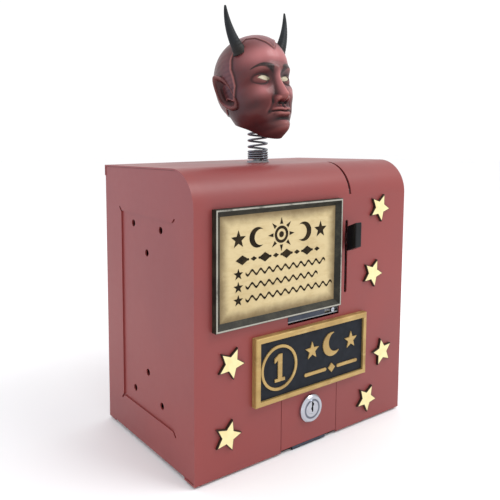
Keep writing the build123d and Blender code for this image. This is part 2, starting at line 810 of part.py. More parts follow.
# the knob is a sheared block, with its top and underside rising to the front
arm_height_at_knob = lever_pivot_z + (pivot_y - knob_rear_y) * tan(radians(lever_rest))
knob_low = arm_height_at_knob - knob_drop
knob_rise = knob_depth * tan(radians(knob_slope))
with BuildPart() as lever_knob:
    with BuildSketch(Plane.YZ.offset(lever_x - knob_width / 2)):
        with BuildLine():
            Polyline(
                (knob_rear_y, knob_low),
                (knob_rear_y - knob_depth, knob_low + knob_rise),
                (knob_rear_y - knob_depth, knob_low + knob_rise + knob_height),
                (knob_rear_y, knob_low + knob_height),
                close=True,
            )
        make_face()
    extrude(amount=knob_width)
    fillet(lever_knob.edges(), 0.8)
    add(lever_arm, mode=Mode.SUBTRACT)
write(lever_knob.part, "lever_knob")

# ---------------------------------------------------------------- bell crank
crank_reach = crank_spacing - lever_tail
slot_run = 2 * (pin_radius + pin_play) + 5.0
with BuildPart() as level_crank:
    with BuildSketch(Plane.YZ.offset(crank_left)):
        with BuildLine():
            Polyline(
                (crank_y + 6.5, lever_pivot_z),
                (crank_y + 3.5, lever_pivot_z - crank_drop - 3.5),
                (crank_y - 3.5, lever_pivot_z - crank_drop - 3.5),
                (crank_y - 5, lever_pivot_z - 8),
                (crank_y - crank_reach - slot_run / 2 - 2, lever_pivot_z - 4.5),
                (crank_y - crank_reach - slot_run / 2 - 2, lever_pivot_z + 4.5),
                (crank_y, lever_pivot_z + 6.5),
                close=True,
            )
        make_face()
        with Locations((crank_y, lever_pivot_z)):
            Circle(shaft_radius + 4)
            Circle(shaft_radius + running, mode=Mode.SUBTRACT)
        with Locations((crank_y - crank_reach, lever_pivot_z)):
            SlotOverall(slot_run, 2 * (pin_radius + pin_play), mode=Mode.SUBTRACT)
        with Locations((crank_y, lever_pivot_z - crank_drop)):
            Circle(pin_radius, mode=Mode.SUBTRACT)
    extrude(amount=crank_thickness)
write(level_crank.part.rotate(crank_axis, crank_rest), "bell_crank")

magazine_outer = card_width + 2 * magazine_play + 2 * magazine_wall
ear_thickness = 1.2
ear_right = crank_left - part_gap - 0.6
ear_left = ear_right - ear_thickness
with BuildPart() as crank_pin:
    extrude(
        side_disc(ear_left + 0.1, crank_y, lever_pivot_z - crank_drop, pin_radius),
        amount=crank_right - ear_left - 0.1,
    )
write(crank_pin.part.rotate(crank_axis, crank_rest), "crank_pin")

# ---------------------------------------------------------------- card magazine, cards, pusher
card_front = front_y + card_set_back
card_rear = card_front + card_length
card_middle = card_front + card_length / 2
shelf_top = card_z - 0.1
stack_low = card_z + card_thickness + 0.25
stack_top = stack_low + stack_height
magazine_front = inner_front_y + 0.1
pin_rest_y = crank_y + crank_drop * sin(radians(crank_rest))
pin_low_z = lever_pivot_z - crank_drop
pin_high_z = lever_pivot_z - crank_drop * cos(radians(max(crank_rest, crank_pressed)))
magazine_top = stack_top + magazine_headroom
with BuildPart() as card_magazine:
    with BuildSketch(Plane.XY.offset(shelf_top - magazine_wall)):
        with Locations((card_x, magazine_front)):
            Rectangle(magazine_outer, pin_rest_y - magazine_front, align=(Align.CENTER, Align.MIN))
    extrude(amount=magazine_wall)
    with BuildSketch(Plane.XY.offset(shelf_top)):
        for side in (-1, 1):
            with Locations((card_x + side * (magazine_outer - magazine_wall) / 2, magazine_front)):
                Rectangle(magazine_wall, card_rear - magazine_front, align=(Align.CENTER, Align.MIN))
    extrude(amount=magazine_top - shelf_top)
    # front and rear guides, clear of the lowest card
    with BuildSketch(Plane.XY.offset(stack_low)):
        with Locations((card_x, card_front - fit_gap)):
            Rectangle(magazine_outer, magazine_wall, align=(Align.CENTER, Align.MAX))
        for side in (-1, 1):
            with Locations((card_x + side * magazine_outer / 2, card_rear + fit_gap)):
                Rectangle(12, magazine_wall, align=(Align.MAX if side > 0 else Align.MIN, Align.MIN))
            with Locations((card_x + side * (magazine_outer - magazine_wall) / 2, card_rear - 1)):
                Rectangle(magazine_wall, magazine_wall + 1 + fit_gap, align=(Align.CENTER, Align.MIN))
    extrude(amount=magazine_top - stack_low)
write(card_magazine.part, "card_magazine")

post_top = shelf_top - magazine_wall
with BuildPart() as magazine_post:
    with BuildSketch(Plane.YZ.offset(card_x - post_width / 2)):
        with Locations((post_y, base_thickness)):
            Rectangle(sheet, post_top - base_thickness, align=(Align.MIN, Align.MIN))
            Rectangle(foot_depth, sheet, align=(Align.MIN, Align.MIN))
        with Locations((post_y, post_top)):
            Rectangle(foot_depth, sheet, align=(Align.MIN, Align.MAX))
    extrude(amount=post_width)
    with BuildSketch(Plane.XY.offset(base_thickness)):
        with Locations(*foot_screws[:2]):
            Circle(screw_radius)
    extrude(amount=sheet, mode=Mode.SUBTRACT)
write(magazine_post.part, "magazine_post")

with BuildPart() as card_stack:
    with BuildSketch(Plane.XY.offset(stack_low)):
        with Locations((card_x, card_middle)):
            Rectangle(card_width, card_length)
    extrude(amount=stack_height)
write(card_stack.part, "card_stack")

with BuildPart() as issued_card:
    with BuildSketch(Plane.XY.offset(card_z)):
        with Locations((card_x, card_middle)):
            Rectangle(card_width, card_length)
    extrude(amount=card_thickness)
write(issued_card.part, "issued_card")

ear_half = pin_radius + 3.1
blade_width = card_width - 8
bridge_left = card_x + blade_width / 2 - 14
with BuildPart() as card_pusher:
    with BuildSketch(Plane.XY.offset(card_z)):
        with Locations((card_x, card_rear + 0.1)):
            Rectangle(blade_width, pin_rest_y + ear_half - card_rear - 0.1, align=(Align.CENTER, Align.MIN))
    extrude(amount=card_thickness)
    # a bridge to the crank's side, with an ear that the crank pin works in
    with BuildSketch(Plane.XY.offset(card_z)):
        with Locations((bridge_left, pin_rest_y)):
            Rectangle(ear_right - bridge_left, 2 * ear_half, align=(Align.MIN, Align.CENTER))
    extrude(amount=2.0)
    with BuildSketch(Plane.YZ.offset(ear_left)):
        with Locations((pin_rest_y, (pin_low_z + pin_high_z) / 2)):
            Rectangle(2 * ear_half, pin_high_z - pin_low_z + 9)
    extrude(amount=ear_thickness)
    with BuildSketch(Plane.YZ.offset(ear_left)):
        with Locations((pin_rest_y, (pin_low_z + pin_high_z) / 2)):
            SlotOverall(
                pin_high_z - pin_low_z + 2 * pin_radius + 2 * pin_play,
                2 * (pin_radius + pin_play / 2),
                rotation=90,
            )
    extrude(amount=ear_thickness, mode=Mode.SUBTRACT)
write(card_pusher.part, "card_pusher")

stem_radius = 2.2
with BuildPart() as stack_weight:
    with BuildSketch(Plane.XY.offset(stack_top + 0.05)):
        with Locations((card_x, card_middle)):
            RectangleRounded(card_width - 6, card_length - 12, 3)
    extrude(amount=weight_thickness)
    with Locations((card_x, card_middle, stack_top + weight_thickness)):
        Cylinder(stem_radius, 7, align=(Align.CENTER, Align.CENTER, Align.MIN))
    with Locations((card_x, card_middle, stack_top + weight_thickness + 6)):
        Cylinder(stem_radius + 4, 4, align=(Align.CENTER, Align.CENTER, Align.MIN))
    fillet(stack_weight.edges().group_by(Axis.Z)[-1], 1.2)
write(stack_weight.part, "stack_weight")

# a bright strip across the upper part of the card exit lets one card pass at a time
gate_low = stack_low - 0.1
gate_x = card_x - exit_width / 2 + gate_width / 2
with BuildPart() as card_gate:
    extrude(
        front_rectangle(gate_x, (gate_low + exit_high) / 2, gate_width, exit_high - gate_low, 0.5),
        amount=-gate_thickness,
    )
write(card_gate.part, "card_gate")

gate_screw_x = gate_x + gate_width / 2 + 9.0
with BuildPart() as card_gate_screw:
    extrude(front_disc(gate_screw_x, exit_high - 1.9, 1.8, 0.8), amount=-1.7)
    extrude(front_disc(gate_screw_x, exit_high - 1.9, 0.9), amount=-3.2)
    extrude(front_rectangle(gate_screw_x, exit_high - 1.9, 3.6, 0.5, 0.8), amount=-0.5, mode=Mode.SUBTRACT)
write(card_gate_screw.part, "card_gate_screw")

# ---------------------------------------------------------------- coin path
chute_inner = coin_diameter + chute_play
chute_front = inner_front_y + 0.6
with BuildPart() as coin_chute:
    with BuildSketch(Plane.YZ.offset(coin_x)):
        with Locations((chute_front, chute_low)):
            Rectangle(chute_inner + 2 * chute_wall, front_height, align=(Align.MIN, Align.MIN))
    extrude(amount=chute_gap / 2 + chute_wall, both=True)
    with BuildSketch(Plane.YZ.offset(coin_x)):
        with Locations((chute_front + chute_wall, chute_low - 1)):
            Rectangle(chute_inner, front_height + 2, align=(Align.MIN, Align.MIN))
    extrude(amount=chute_gap / 2, both=True, mode=Mode.SUBTRACT)
    extrude(case_profile(sheet + 0.4), amount=half_w, both=True, mode=Mode.INTERSECT)
write(coin_chute.part, "coin_chute")

bin_front = inner_front_y + 1.2
bin_width = bin_right - bin_left
bin_middle = (bin_left + bin_right) / 2
with BuildPart() as coin_bin:
    with BuildSketch(Plane.XY.offset(base_thickness)):
        with Locations((bin_middle, bin_front)):
            Rectangle(bin_width, bin_rear - bin_front, align=(Align.CENTER, Align.MIN))
    extrude(amount=bin_height - base_thickness)
    # open at the top and towards the door
    with BuildSketch(Plane.XY.offset(base_thickness + bin_wall)):
        with Locations((bin_middle, bin_front - 1)):
            Rectangle(
                bin_width - 2 * bin_wall, bin_rear - bin_front + 1 - bin_wall, align=(Align.CENTER, Align.MIN)
            )
    extrude(amount=bin_height, mode=Mode.SUBTRACT)
    # clear of the hinge leaf on the base plate and of the front's lip
    with BuildSketch(Plane.XY.offset(base_thickness)):
        with Locations((bin_middle, front_y + front_lip + 0.5)):
            Rectangle(bin_width + 2, case_depth, align=(Align.CENTER, Align.MAX))
    extrude(amount=sheet + 0.1, mode=Mode.SUBTRACT)
write(coin_bin.part, "coin_bin")

# ---------------------------------------------------------------- lever return spring
rest_angle = radians(lever_rest)
lever_hook = Vector(
    spring_x,
    pivot_y - spring_reach * cos(rest_angle),
    lever_pivot_z + spring_reach * sin(rest_angle),
)
anchor_hook = Vector(spring_x, spring_anchor_y, anchor_z)
spring_line = anchor_hook - lever_hook
hook_length = pin_radius + return_wire + 1.4
eye_radius = pin_radius + 0.1
return_plane = Plane(origin=lever_hook, x_dir=(1, 0, 0), z_dir=spring_line)
with BuildPart() as lever_return_spring:
    with BuildSketch(return_plane.offset(hook_length)):
        Circle(return_radius + return_wire / 2)
        Circle(return_radius - return_wire / 2, mode=Mode.SUBTRACT)
    extrude(amount=spring_line.length - 2 * hook_length)
    # each end is a wire eye round its pin
    for eye_at, sign in ((0.0, 1), (spring_line.length, -1)):
        eye_plane = Plane(origin=return_plane.offset(eye_at).origin, x_dir=spring_line, z_dir=(1, 0, 0))
        with BuildSketch(eye_plane.offset(-return_wire / 2)):
            Circle(eye_radius + return_wire)
            with Locations((sign * hook_length, 0)):
                Rectangle(2 * return_wire, 2 * return_radius)
            Rectangle(hook_length, return_wire, align=(Align.MIN if sign > 0 else Align.MAX, Align.CENTER))
            Circle(eye_radius, mode=Mode.SUBTRACT)
        extrude(amount=return_wire)
write(lever_return_spring.part, "lever_return_spring")

# ---------------------------------------------------------------- head post and spring
slope = radians(deck_slope)
deck = Plane(origin=(0, 0, deck_z), x_dir=(1, 0, 0), z_dir=(0, sin(slope), cos(slope)))
spring_outer = coil_radius + wire / 2
below_deck = sheet + 7.0
with BuildPart() as head_post:
    with BuildSketch(deck.offset(-below_deck)):
        Circle(post_radius)
    extrude(amount=below_deck + post_height)
    fillet(head_post.edges().group_by(Axis.Z)[-1], 1.6)
    with BuildSketch(deck):
        Circle(spring_outer + 0.6)
    extrude(amount=washer_thickness)
write(head_post.part, "head_post")

with BuildPart() as head_post_nut:
    with BuildSketch(deck.offset(-sheet)):
        Circle(9.0)
        Circle(post_radius + running, mode=Mode.SUBTRACT)
    extrude(amount=-1.0)
    with BuildSketch(deck.offset(-sheet - 1.0)):
        RegularPolygon(6.5, 6, major_radius=False)
        Circle(post_radius + running, mode=Mode.SUBTRACT)
    extrude(amount=-4.0)
write(head_post_nut.part, "head_post_nut")


def coil(start_height, turns, pitch, start_turn):
    """A run of the head spring's wire above the deck, starting at start_turn turns round."""
    with BuildPart() as run:
        with BuildLine(deck.offset(start_height)):
            path = Helix(pitch, pitch * turns, coil_radius)
        with BuildSketch(Plane(origin=path @ 0, z_dir=path % 0)):
            Circle(wire / 2)
        sweep(is_frenet=True)
    return run.part.rotate(Axis(deck.origin, deck.z_dir), 360 * start_turn)


spring_low = washer_thickness + wire / 2
write(coil(spring_low, closed_turns, closed_pitch, 0.0), "spring_base_turns")
open_low = spring_low + closed_turns * closed_pitch
segment_height = segment_turns * open_pitch
segments = ("spring_lower_turns", "spring_middle_turns", "spring_upper_turns")
end_gap = 0.004  # turns between two runs' ends
for k, segment in enumerate(segments):
    segment_run = coil(
        open_low + k * segment_height + end_gap * open_pitch,
        segment_turns - 2 * end_gap,
        open_pitch,
        k * segment_turns + end_gap,
    )
    write(segment_run, segment)
spring_top = open_low + len(segments) * segment_height

# ---------------------------------------------------------------- head
head_plane = deck.offset(head_height).rotated((-head_tilt, 0, 0))
# height, width, depth and middle of the head's sections, front towards -y
head_sections = (
    (-9.0, 22.0, 33.0, -22.0),
    (4.0, 38.0, 53.0, -13.5),
    (18.0, 48.0, 61.0, -11.0),
    (34.0, 54.0, 70.0, -8.5),
    (50.0, 56.0, 75.0, -6.5),
    (64.0, 53.0, 71.0, -6.5),
    (75.0, 42.0, 56.0, -7.5),
    (82.0, 22.0, 28.0, -9.5),
    (84.0, 8.0, 10.0, -10.0),
)
neck_cut = 39.0  # degrees, neck's rim rising to the rear
neck_plane = Plane(
    origin=head_plane.from_local_coords((0, 0, 5.0)),
    x_dir=(1, 0, 0),
    z_dir=head_plane.rotated((neck_cut, 0, 0)).z_dir,
)
socket_radius = spring_outer + 0.6
ear_root_x = 23.0
ear_width = 10.5
with BuildPart() as head:
    for height, width, depth, middle in head_sections:
        with BuildSketch(head_plane.offset(height)):
            with Locations((0, middle)):
                Ellipse(width / 2, depth / 2)
    loft()
    # pointed ears
    for side in (-1, 1):
        ear_root = head_plane.from_local_coords((side * ear_root_x, 0, 0))
        ear_plane = Plane(origin=ear_root, x_dir=head_plane.y_dir, z_dir=head_plane.x_dir)
        with BuildSketch(ear_plane):
            with BuildLine():
                ThreePointArc((-10.0, 15.0), (2.0, 28.0), (7.0, 52.0))
                ThreePointArc((7.0, 52.0), (-3.0, 48.0), (-10.0, 37.0))
                Line((-10.0, 37.0), (-10.0, 15.0))
            make_face()
        extrude(amount=side * ear_width)
    split(bisect_by=neck_plane)
    # socket for the spring
    with BuildSketch(deck.offset(head_height - 20)):
        Circle(socket_radius)
    extrude(amount=spring_top + 3 - head_height + 20, mode=Mode.SUBTRACT)


horn_root_x = 20.5
horn_root_y = -1.5
horn_root_height = 69.0  # above the head's origin


def horn(side):
    """A tapered horn that leans outwards from the brow and curls upright."""
    lean = radians(horn_turn)
    root = Plane(
        origin=(side * horn_root_x, horn_root_y, deck_z + head_height + horn_root_height),
        x_dir=(cos(lean), 0, -side * sin(lean)),
        z_dir=(side * sin(lean), 0.16, cos(lean)),
    )
    bend = horn_length / radians(horn_turn)
    steps = 6
    with BuildPart() as curl:
        for k in range(steps):
            share = k / (steps - 1)
            turn = radians(horn_turn) * share
            place = root.from_local_coords((-side * bend * (1 - cos(turn)), 0, bend * sin(turn)))
            ahead = root.from_local_coords((-side * sin(turn), 0, cos(turn))) - root.origin
            with BuildSketch(Plane(origin=place, x_dir=root.y_dir, z_dir=ahead)):
                Circle(horn_root_radius * (1 - share) + horn_tip_radius * share)
        loft()
        add(head.part, mode=Mode.SUBTRACT)
    return curl.part.solids().sort_by(SortBy.VOLUME)[-1]


write(horn(-1), "left_horn")
write(horn(1), "right_horn")
write(head.part, "head")

print("nodes", len(written))
print("lever pivot", pivot_y, lever_pivot_z, "crank pivot", crank_y)
print("crank ratio", round(crank_ratio, 5), "crank travel", round(crank_rest + crank_pressed, 3))
print("pusher travel", round(pusher_travel, 3), "hinge", hinge_y, hinge_z, "plug", plug_z)
print("deck", deck_z, deck_slope, "open from", open_low, "segment", segment_height, "top", spring_top)
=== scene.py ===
"""The looks of a sheet-metal coin bank with a horned head on a coil spring. Metres, front towards -Y."""

import json
from math import atan2, cos, hypot, pi, radians, sin, tau

import bmesh
import bpy
import numpy as np
from mathutils import Matrix, Vector


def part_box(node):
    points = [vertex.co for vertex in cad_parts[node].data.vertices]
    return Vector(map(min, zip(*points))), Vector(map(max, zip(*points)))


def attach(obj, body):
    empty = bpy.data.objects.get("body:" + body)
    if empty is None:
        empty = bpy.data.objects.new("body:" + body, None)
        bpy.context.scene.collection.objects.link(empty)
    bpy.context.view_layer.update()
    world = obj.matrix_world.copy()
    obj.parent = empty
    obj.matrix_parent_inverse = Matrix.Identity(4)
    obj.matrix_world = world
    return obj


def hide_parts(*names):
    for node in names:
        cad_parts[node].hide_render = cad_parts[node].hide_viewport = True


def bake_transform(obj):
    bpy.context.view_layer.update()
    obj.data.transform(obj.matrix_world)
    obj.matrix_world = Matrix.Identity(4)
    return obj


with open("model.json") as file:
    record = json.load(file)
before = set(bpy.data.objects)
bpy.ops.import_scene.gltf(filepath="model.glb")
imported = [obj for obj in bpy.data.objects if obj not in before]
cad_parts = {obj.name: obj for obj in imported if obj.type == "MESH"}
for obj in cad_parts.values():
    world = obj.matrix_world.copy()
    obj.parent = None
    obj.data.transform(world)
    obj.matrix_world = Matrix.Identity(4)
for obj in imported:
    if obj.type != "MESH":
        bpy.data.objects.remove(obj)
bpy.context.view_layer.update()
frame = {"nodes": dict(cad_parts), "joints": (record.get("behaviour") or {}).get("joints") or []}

MM = 0.001
nodes = frame["nodes"]


# ---------------------------------------------------------------- shader expressions
class Value:
    """A number or colour that changes over a surface. Sums and products on it add its Math nodes."""

    def __init__(self, finish, socket):
        self.finish = finish
        self.socket = socket

    def math(self, operation, *others, clamp=False):
        made = self.finish.node("Math", {"operation": operation, "use_clamp": clamp}, self, *others)
        return made[0]

    def __add__(self, other):
        return self.math("ADD", other)

    def __sub__(self, other):
        return self.math("SUBTRACT", other)

    def __rsub__(self, other):
        return self.finish.node("Math", {"operation": "SUBTRACT"}, other, self)[0]

    def __mul__(self, other):
        return self.math("MULTIPLY", other)

    __radd__ = __add__
    __rmul__ = __mul__

    def clipped(self):
        return self.math("ADD", 0.0, clamp=True)

    def step(self, low, high):
        """0 below low, 1 above high and a smooth rise between them."""
        settings = {"interpolation_type": "SMOOTHSTEP"}
        return self.finish.node("MapRange", settings, self, low, high, 0.0, 1.0)[0]


class Outputs:
    """The outputs of one node, by place or by name."""

    def __init__(self, finish, made):
        self.finish = finish
        self.made = made

    def __getitem__(self, key):
        found = [s for s in self.made.outputs if s.enabled] if isinstance(key, int) else self.made.outputs
        return Value(self.finish, found[key])

    def all(self):
        return [Value(self.finish, s) for s in self.made.outputs]


class Finish:
    """A material under construction, with one method that adds any node."""

    def __init__(self, name):
        self.material = bpy.data.materials.new(name)
        self.material.use_nodes = True
        self.tree = self.material.node_tree
        self.shader = self.tree.nodes["Principled BSDF"]
        self.here = self.node("TexCoord")["Object"]

    def node(self, kind, settings=None, *values, **named):
        """Adds a shader node: its settings first, then its sockets' values or links."""
        made = self.tree.nodes.new("ShaderNode" + kind)
        for name, value in (settings or {}).items():
            setattr(made, name, value)
        sockets = [s for s in made.inputs if s.enabled]
        for socket, value in [*zip(sockets, values), *((made.inputs[n], v) for n, v in named.items())]:
            self.feed(socket, value)
        return Outputs(self, made)

    def feed(self, socket, value):
        """Sets a socket to a value, or links it."""
        if isinstance(value, Value):
            self.tree.links.new(value.socket, socket)
        elif value is not None:
            socket.default_value = value

    def noise(self, scale, detail=3.0, roughness=0.5, where=None):
        """Noise over the piece, at its own coordinates unless others are given."""
        sockets = {"Vector": where or self.here, "Scale": scale, "Detail": detail, "Roughness": roughness}
        return self.node("TexNoise", None, **sockets)["Fac"]

    def stretched(self, scale):
        """Object coordinates multiplied along each axis."""
        return self.node("Mapping", None, Vector=self.here, Scale=scale)[0]

    def axes(self):
        """The x, y and z of a place on the piece."""
        return self.node("SeparateXYZ", None, self.here).all()

    def facing(self):
        """The x, y and z of the surface's direction."""
        return self.node("SeparateXYZ", None, self.node("NewGeometry")["Normal"]).all()

    def mark(self, name):
        """A number stored on the piece's corners."""
        return self.node("Attribute", {"attribute_name": name})["Fac"]

    def mix(self, share, one, other):
        """A colour between two others."""
        made = self.node("Mix", {"data_type": "RGBA"}, share)
        self.feed(made.made.inputs[6], one)
        self.feed(made.made.inputs[7], other)
        return made[0]

    def bump(self, height, distance, strength=1.0):
        """A surface direction disturbed by a height."""
        return self.node("Bump", None, Strength=strength, Distance=distance, Height=height)[0]

    def set(self, **sockets):
        """Sets sockets of the surface shader, with _ for a space in a name."""
        for name, value in sockets.items():
            self.feed(self.shader.inputs[name.replace("_", " ")], value)
        return self.material


def colour(red, green, blue):
    """A colour given as it looks on a screen, 0 to 255, as linear light."""
    linear = [((c / 255 + 0.055) / 1.055) ** 2.4 if c > 10 else c / 255 / 12.92 for c in (red, green, blue)]
    return (*linear, 1.0)


# ---------------------------------------------------------------- finishes
def case_paint(name, main, dusty):
    """Satin brick-red paint, a little uneven, with faint scuffs and orange peel."""
    f = Finish(name)
    broad = f.noise(9.0, 4.0, 0.6).step(0.35, 0.68)
    fine = f.noise(170.0, 3.0, 0.6)
    scuffs = f.noise(60.0, 6.0, 0.75, f.stretched((1.0, 1.0, 0.25))).step(0.66, 0.78)
    base = f.mix(broad * 0.55, main, dusty)
    worn = f.mix(scuffs * 0.16, base, colour(176, 112, 106))
    return f.set(
        Base_Color=worn,
        Roughness=(fine * 0.10 + broad * 0.06 + scuffs * 0.10 + 0.34).clipped(),
        Specular_IOR_Level=0.42,
        Coat_Weight=0.05,
        Coat_Roughness=0.30,
        Normal=f.bump(f.noise(900.0, 2.0, 0.5), 0.00005, 0.3),
    )


def plain_metal(name, tone, roughness, streak=(1.0, 1.0, 8.0), metallic=1.0):
    """Plated or polished metal with fine drawn streaks and smudges."""
    f = Finish(name)
    lines = f.noise(260.0, 4.0, 0.6, f.stretched(streak))
    smudge = f.noise(55.0, 3.0, 0.6).step(0.4, 0.75)
    dull = tuple(c * 0.72 for c in tone[:3]) + (1.0,)
    return f.set(
        Base_Color=f.mix(smudge * 0.5, tone, dull),
        Roughness=(lines * 0.14 + smudge * 0.10 + roughness).clipped(),
        Metallic=metallic,
        Normal=f.bump(lines, 0.00003, 0.3),
    )


def turned_chrome(name, node):
    """Bright plating turned on a lathe, with a dark ring of painted shade for a groove and fine rings about
    the middle of a node.
    """
    f = Finish(name)
    low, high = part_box(node)
    x, _, z = f.axes()
    right = x - (low[0] + high[0]) / 2
    up = z - (low[2] + high[2]) / 2
    away = (right * right + up * up).math("POWER", 0.5)
    groove = away.step(6.2 * MM, 6.9 * MM) * (1.0 - away.step(7.8 * MM, 8.6 * MM))
    rings = (away * (tau / (0.5 * MM))).math("SINE")
    smudge = f.noise(70.0, 3.0, 0.6).step(0.4, 0.75)
    shaded = f.mix(smudge * 0.4, colour(190, 194, 203), colour(140, 146, 160))
    return f.set(
        # painted shade: the groove is only darkened in colour, standing in for the shade in its recess
        Base_Color=f.mix(groove * 0.75, shaded, colour(58, 66, 84)),
        Roughness=(rings * 0.03 + smudge * 0.08 + 0.14).clipped(),
        Metallic=1.0,
        Normal=f.bump(rings, 0.00002, 0.4),
    )


def matt(name, tone, other, roughness=0.7, scale=120.0, depth=0.00004, gloss=0.5):
    """A matt finish that drifts between two tones."""
    f = Finish(name)
    drift = f.noise(scale, 4.0, 0.6)
    return f.set(
        Base_Color=f.mix(drift.step(0.35, 0.7), tone, other),
        Roughness=(drift * 0.15 + roughness - 0.07).clipped(),
        Specular_IOR_Level=gloss,
        Normal=f.bump(f.noise(scale * 8, 2.0), depth, 0.5),
    )


def from_edge(f, low, high, axis_pair=(0, 2)):
    """Distance from the nearer side of a rectangle between two corners, in metres."""
    places = f.axes()
    gaps = []
    for axis in axis_pair:
        gaps.append(places[axis] - low[axis])
        gaps.append(high[axis] - places[axis])
    nearest = gaps[0]
    for gap in gaps[1:]:
        nearest = nearest.math("MINIMUM", gap)
    return nearest


def aged_card(name, node):
    """Yellowed card, browner towards its edges and in blotches."""
    f = Finish(name)
    low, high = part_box(node)
    blotch = f.noise(55.0, 5.0, 0.65)
    rim = from_edge(f, low, high) + (blotch - 0.5) * (9 * MM)
    brown = 1.0 - rim.step(2.0 * MM, 12.0 * MM)
    grain = f.noise(420.0, 3.0, 0.6, f.stretched((0.25, 1.0, 1.0)))
    stain = f.noise(26.0, 4.0, 0.6).step(0.48, 0.75)
    aged = f.mix(stain * 0.5, colour(203, 184, 140), colour(178, 155, 108))
    fibre = f.mix(grain.step(0.45, 0.7) * 0.28, aged, colour(172, 146, 98))
    return f.set(
        Base_Color=f.mix(brown * 0.9, fibre, colour(108, 88, 54)),
        Roughness=(grain * 0.2 + 0.62).clipped(),
        Normal=f.bump(grain, 0.00004, 0.5),
    )


def worn_frame(name, node):
    """Dark grey-green paint, partly standing in for the shade on the frame's inner bevel, worn bright along
    a frame's front edge.
    """
    f = Finish(name)
    low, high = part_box(node)
    rub = f.noise(70.0, 5.0, 0.7)
    fine = f.noise(600.0, 3.0, 0.6)
    ahead = (f.axes()[1] * -1.0 + high[1]).step(4.45 * MM, 4.95 * MM)
    flat = (f.facing()[1] * -1.0).step(0.90, 0.99)
    bright = ahead * flat * rub.step(0.22, 0.5)
    # partly painted shade: the dark body is the frame's own paint and also the shade on its inner bevel
    body = f.mix(rub.step(0.4, 0.7), colour(30, 29, 23), colour(54, 52, 42))
    return f.set(
        Base_Color=f.mix(bright, body, colour(168, 166, 156)),
        Roughness=(fine * 0.2 + 0.42).clipped(),
        Metallic=bright * 0.6,
        Specular_IOR_Level=0.25,
        Normal=f.bump(fine, 0.00005, 0.5),
    )


def rubbed_gold(name):
    """Brushed-on gold paint, thinner and darker in places."""
    f = Finish(name)
    strokes = f.noise(190.0, 4.0, 0.65, f.stretched((0.35, 1.0, 1.4)))
    patch = f.noise(38.0, 4.0, 0.6).step(0.42, 0.72)
    tone = f.mix(patch * 0.7, colour(180, 150, 92), colour(138, 108, 60))
    return f.set(
        Base_Color=f.mix(strokes.step(0.5, 0.72) * 0.5, tone, colour(206, 180, 124)),
        Roughness=(strokes * 0.25 + 0.34).clipped(),
        Metallic=0.35,
        Normal=f.bump(strokes, 0.00012, 0.6),
    )


def star_enamel(name):
    """Cream enamel, darkened along its sides and edges by painted shade."""
    f = Finish(name)
    edge = f.mark("edge")
    drift = f.noise(150.0, 4.0, 0.6)
    face = f.mix(drift.step(0.4, 0.7) * 0.5, colour(236, 222, 166), colour(222, 200, 136))
    # painted shade: the edge mark darkens the star's sides as if they stood in shade
    edge_shade = (edge + (drift - 0.5) * 0.30).step(0.34, 0.60)
    return f.set(
        Base_Color=f.mix(edge_shade, face, colour(40, 27, 16)),
        Roughness=(drift * 0.2 + 0.38).clipped(),
        Normal=f.bump(drift, 0.00008, 0.5),
    )


def dress(material, *names):
    """Gives CAD nodes a finish."""
    for name in names:
        slots = nodes[name].data.materials
        slots.clear()
        slots.append(material)


red_paint = case_paint("red_paint", colour(136, 58, 56), colour(126, 61, 62))
zinc = plain_metal("zinc", colour(150, 152, 155), 0.34)
dark_steel = plain_metal("dark_steel", colour(74, 79, 90), 0.38)
chrome = plain_metal("chrome", colour(176, 180, 188), 0.12)
spring_steel = plain_metal("spring_steel", colour(126, 129, 136), 0.16)
black_paint = matt("black_paint", colour(22, 21, 22), colour(34, 31, 31), 0.6, gloss=0.3)
knob_black = matt("knob_black", colour(12, 12, 14), colour(20, 20, 23), 0.34, 90.0, gloss=0.2)
gold = rubbed_gold("gold")
navy = matt("navy", colour(27, 31, 39), colour(21, 25, 32), 0.66, gloss=0.2)
card_stock = matt("card_stock", colour(232, 224, 200), colour(224, 214, 186), 0.8)
ink = matt("ink", colour(28, 23, 15), colour(50, 40, 25), 0.8, 160.0, gloss=0.12)

dress(red_paint, "case_wrap", "left_side_panel", "right_side_panel", "left_side_infill")
dress(red_paint, "right_side_infill", "rear_cover", "coin_door")
dress(black_paint, "base_plate")
dress(worn_frame("frame_grey", "sign_frame"), "sign_frame")
dress(aged_card("parchment", "sign_card"), "sign_card")
dress(gold, "name_plate_frame", "name_plate_relief")
dress(navy, "name_plate_field")
dress(turned_chrome("lock_chrome", "lock_barrel"), "lock_barrel", "lock_plug")
dress(chrome, "card_gate_screw")
dress(knob_black, "lever_knob")
dress(card_stock, "card_stack", "issued_card")
dress(dark_steel, "card_gate", "door_hinge_leaf", "door_hinge_fixed_leaf", "door_hinge_pin", "base_screws")
zinc_pieces = (
    "rear_cover_screws lock_nut lock_cam lock_cam_screw cam_strike bearing_plate lever_shaft crank_shaft "
    "shaft_clips spring_anchor_pin lever_arm lever_pins bell_crank crank_pin card_magazine magazine_post "
    "card_pusher stack_weight coin_chute coin_bin lever_return_spring head_post head_post_nut"
)
dress(zinc, *zinc_pieces.split())


# ---------------------------------------------------------------- making pieces
def shown(name, mesh, *materials):
    """An object at the origin for a finished mesh."""
    piece = bpy.data.objects.new(name, mesh)
    bpy.context.scene.collection.objects.link(piece)
    for material in materials:
        mesh.materials.append(material)
    return piece


def sheet_faces(rows, columns, wrapped):
    """Quads between neighbouring rows of points, closed round each row if wrapped."""
    r, c = np.meshgrid(np.arange(rows - 1), np.arange(columns if wrapped else columns - 1), indexing="ij")
    after = (c + 1) % columns
    corners = [r * columns + c, r * columns + after, (r + 1) * columns + after, (r + 1) * columns + c]
    return np.stack([k.ravel() for k in corners], axis=1)


def mesh_of(name, points, faces, smooth=True):
    """A mesh from rows of x, y, z and corner numbers of its faces."""
    mesh = bpy.data.meshes.new(name)
    mesh.from_pydata([tuple(p) for p in points], [], [tuple(int(i) for i in f) for f in faces])
    mesh.polygons.foreach_set("use_smooth", [smooth] * len(mesh.polygons))
    return mesh


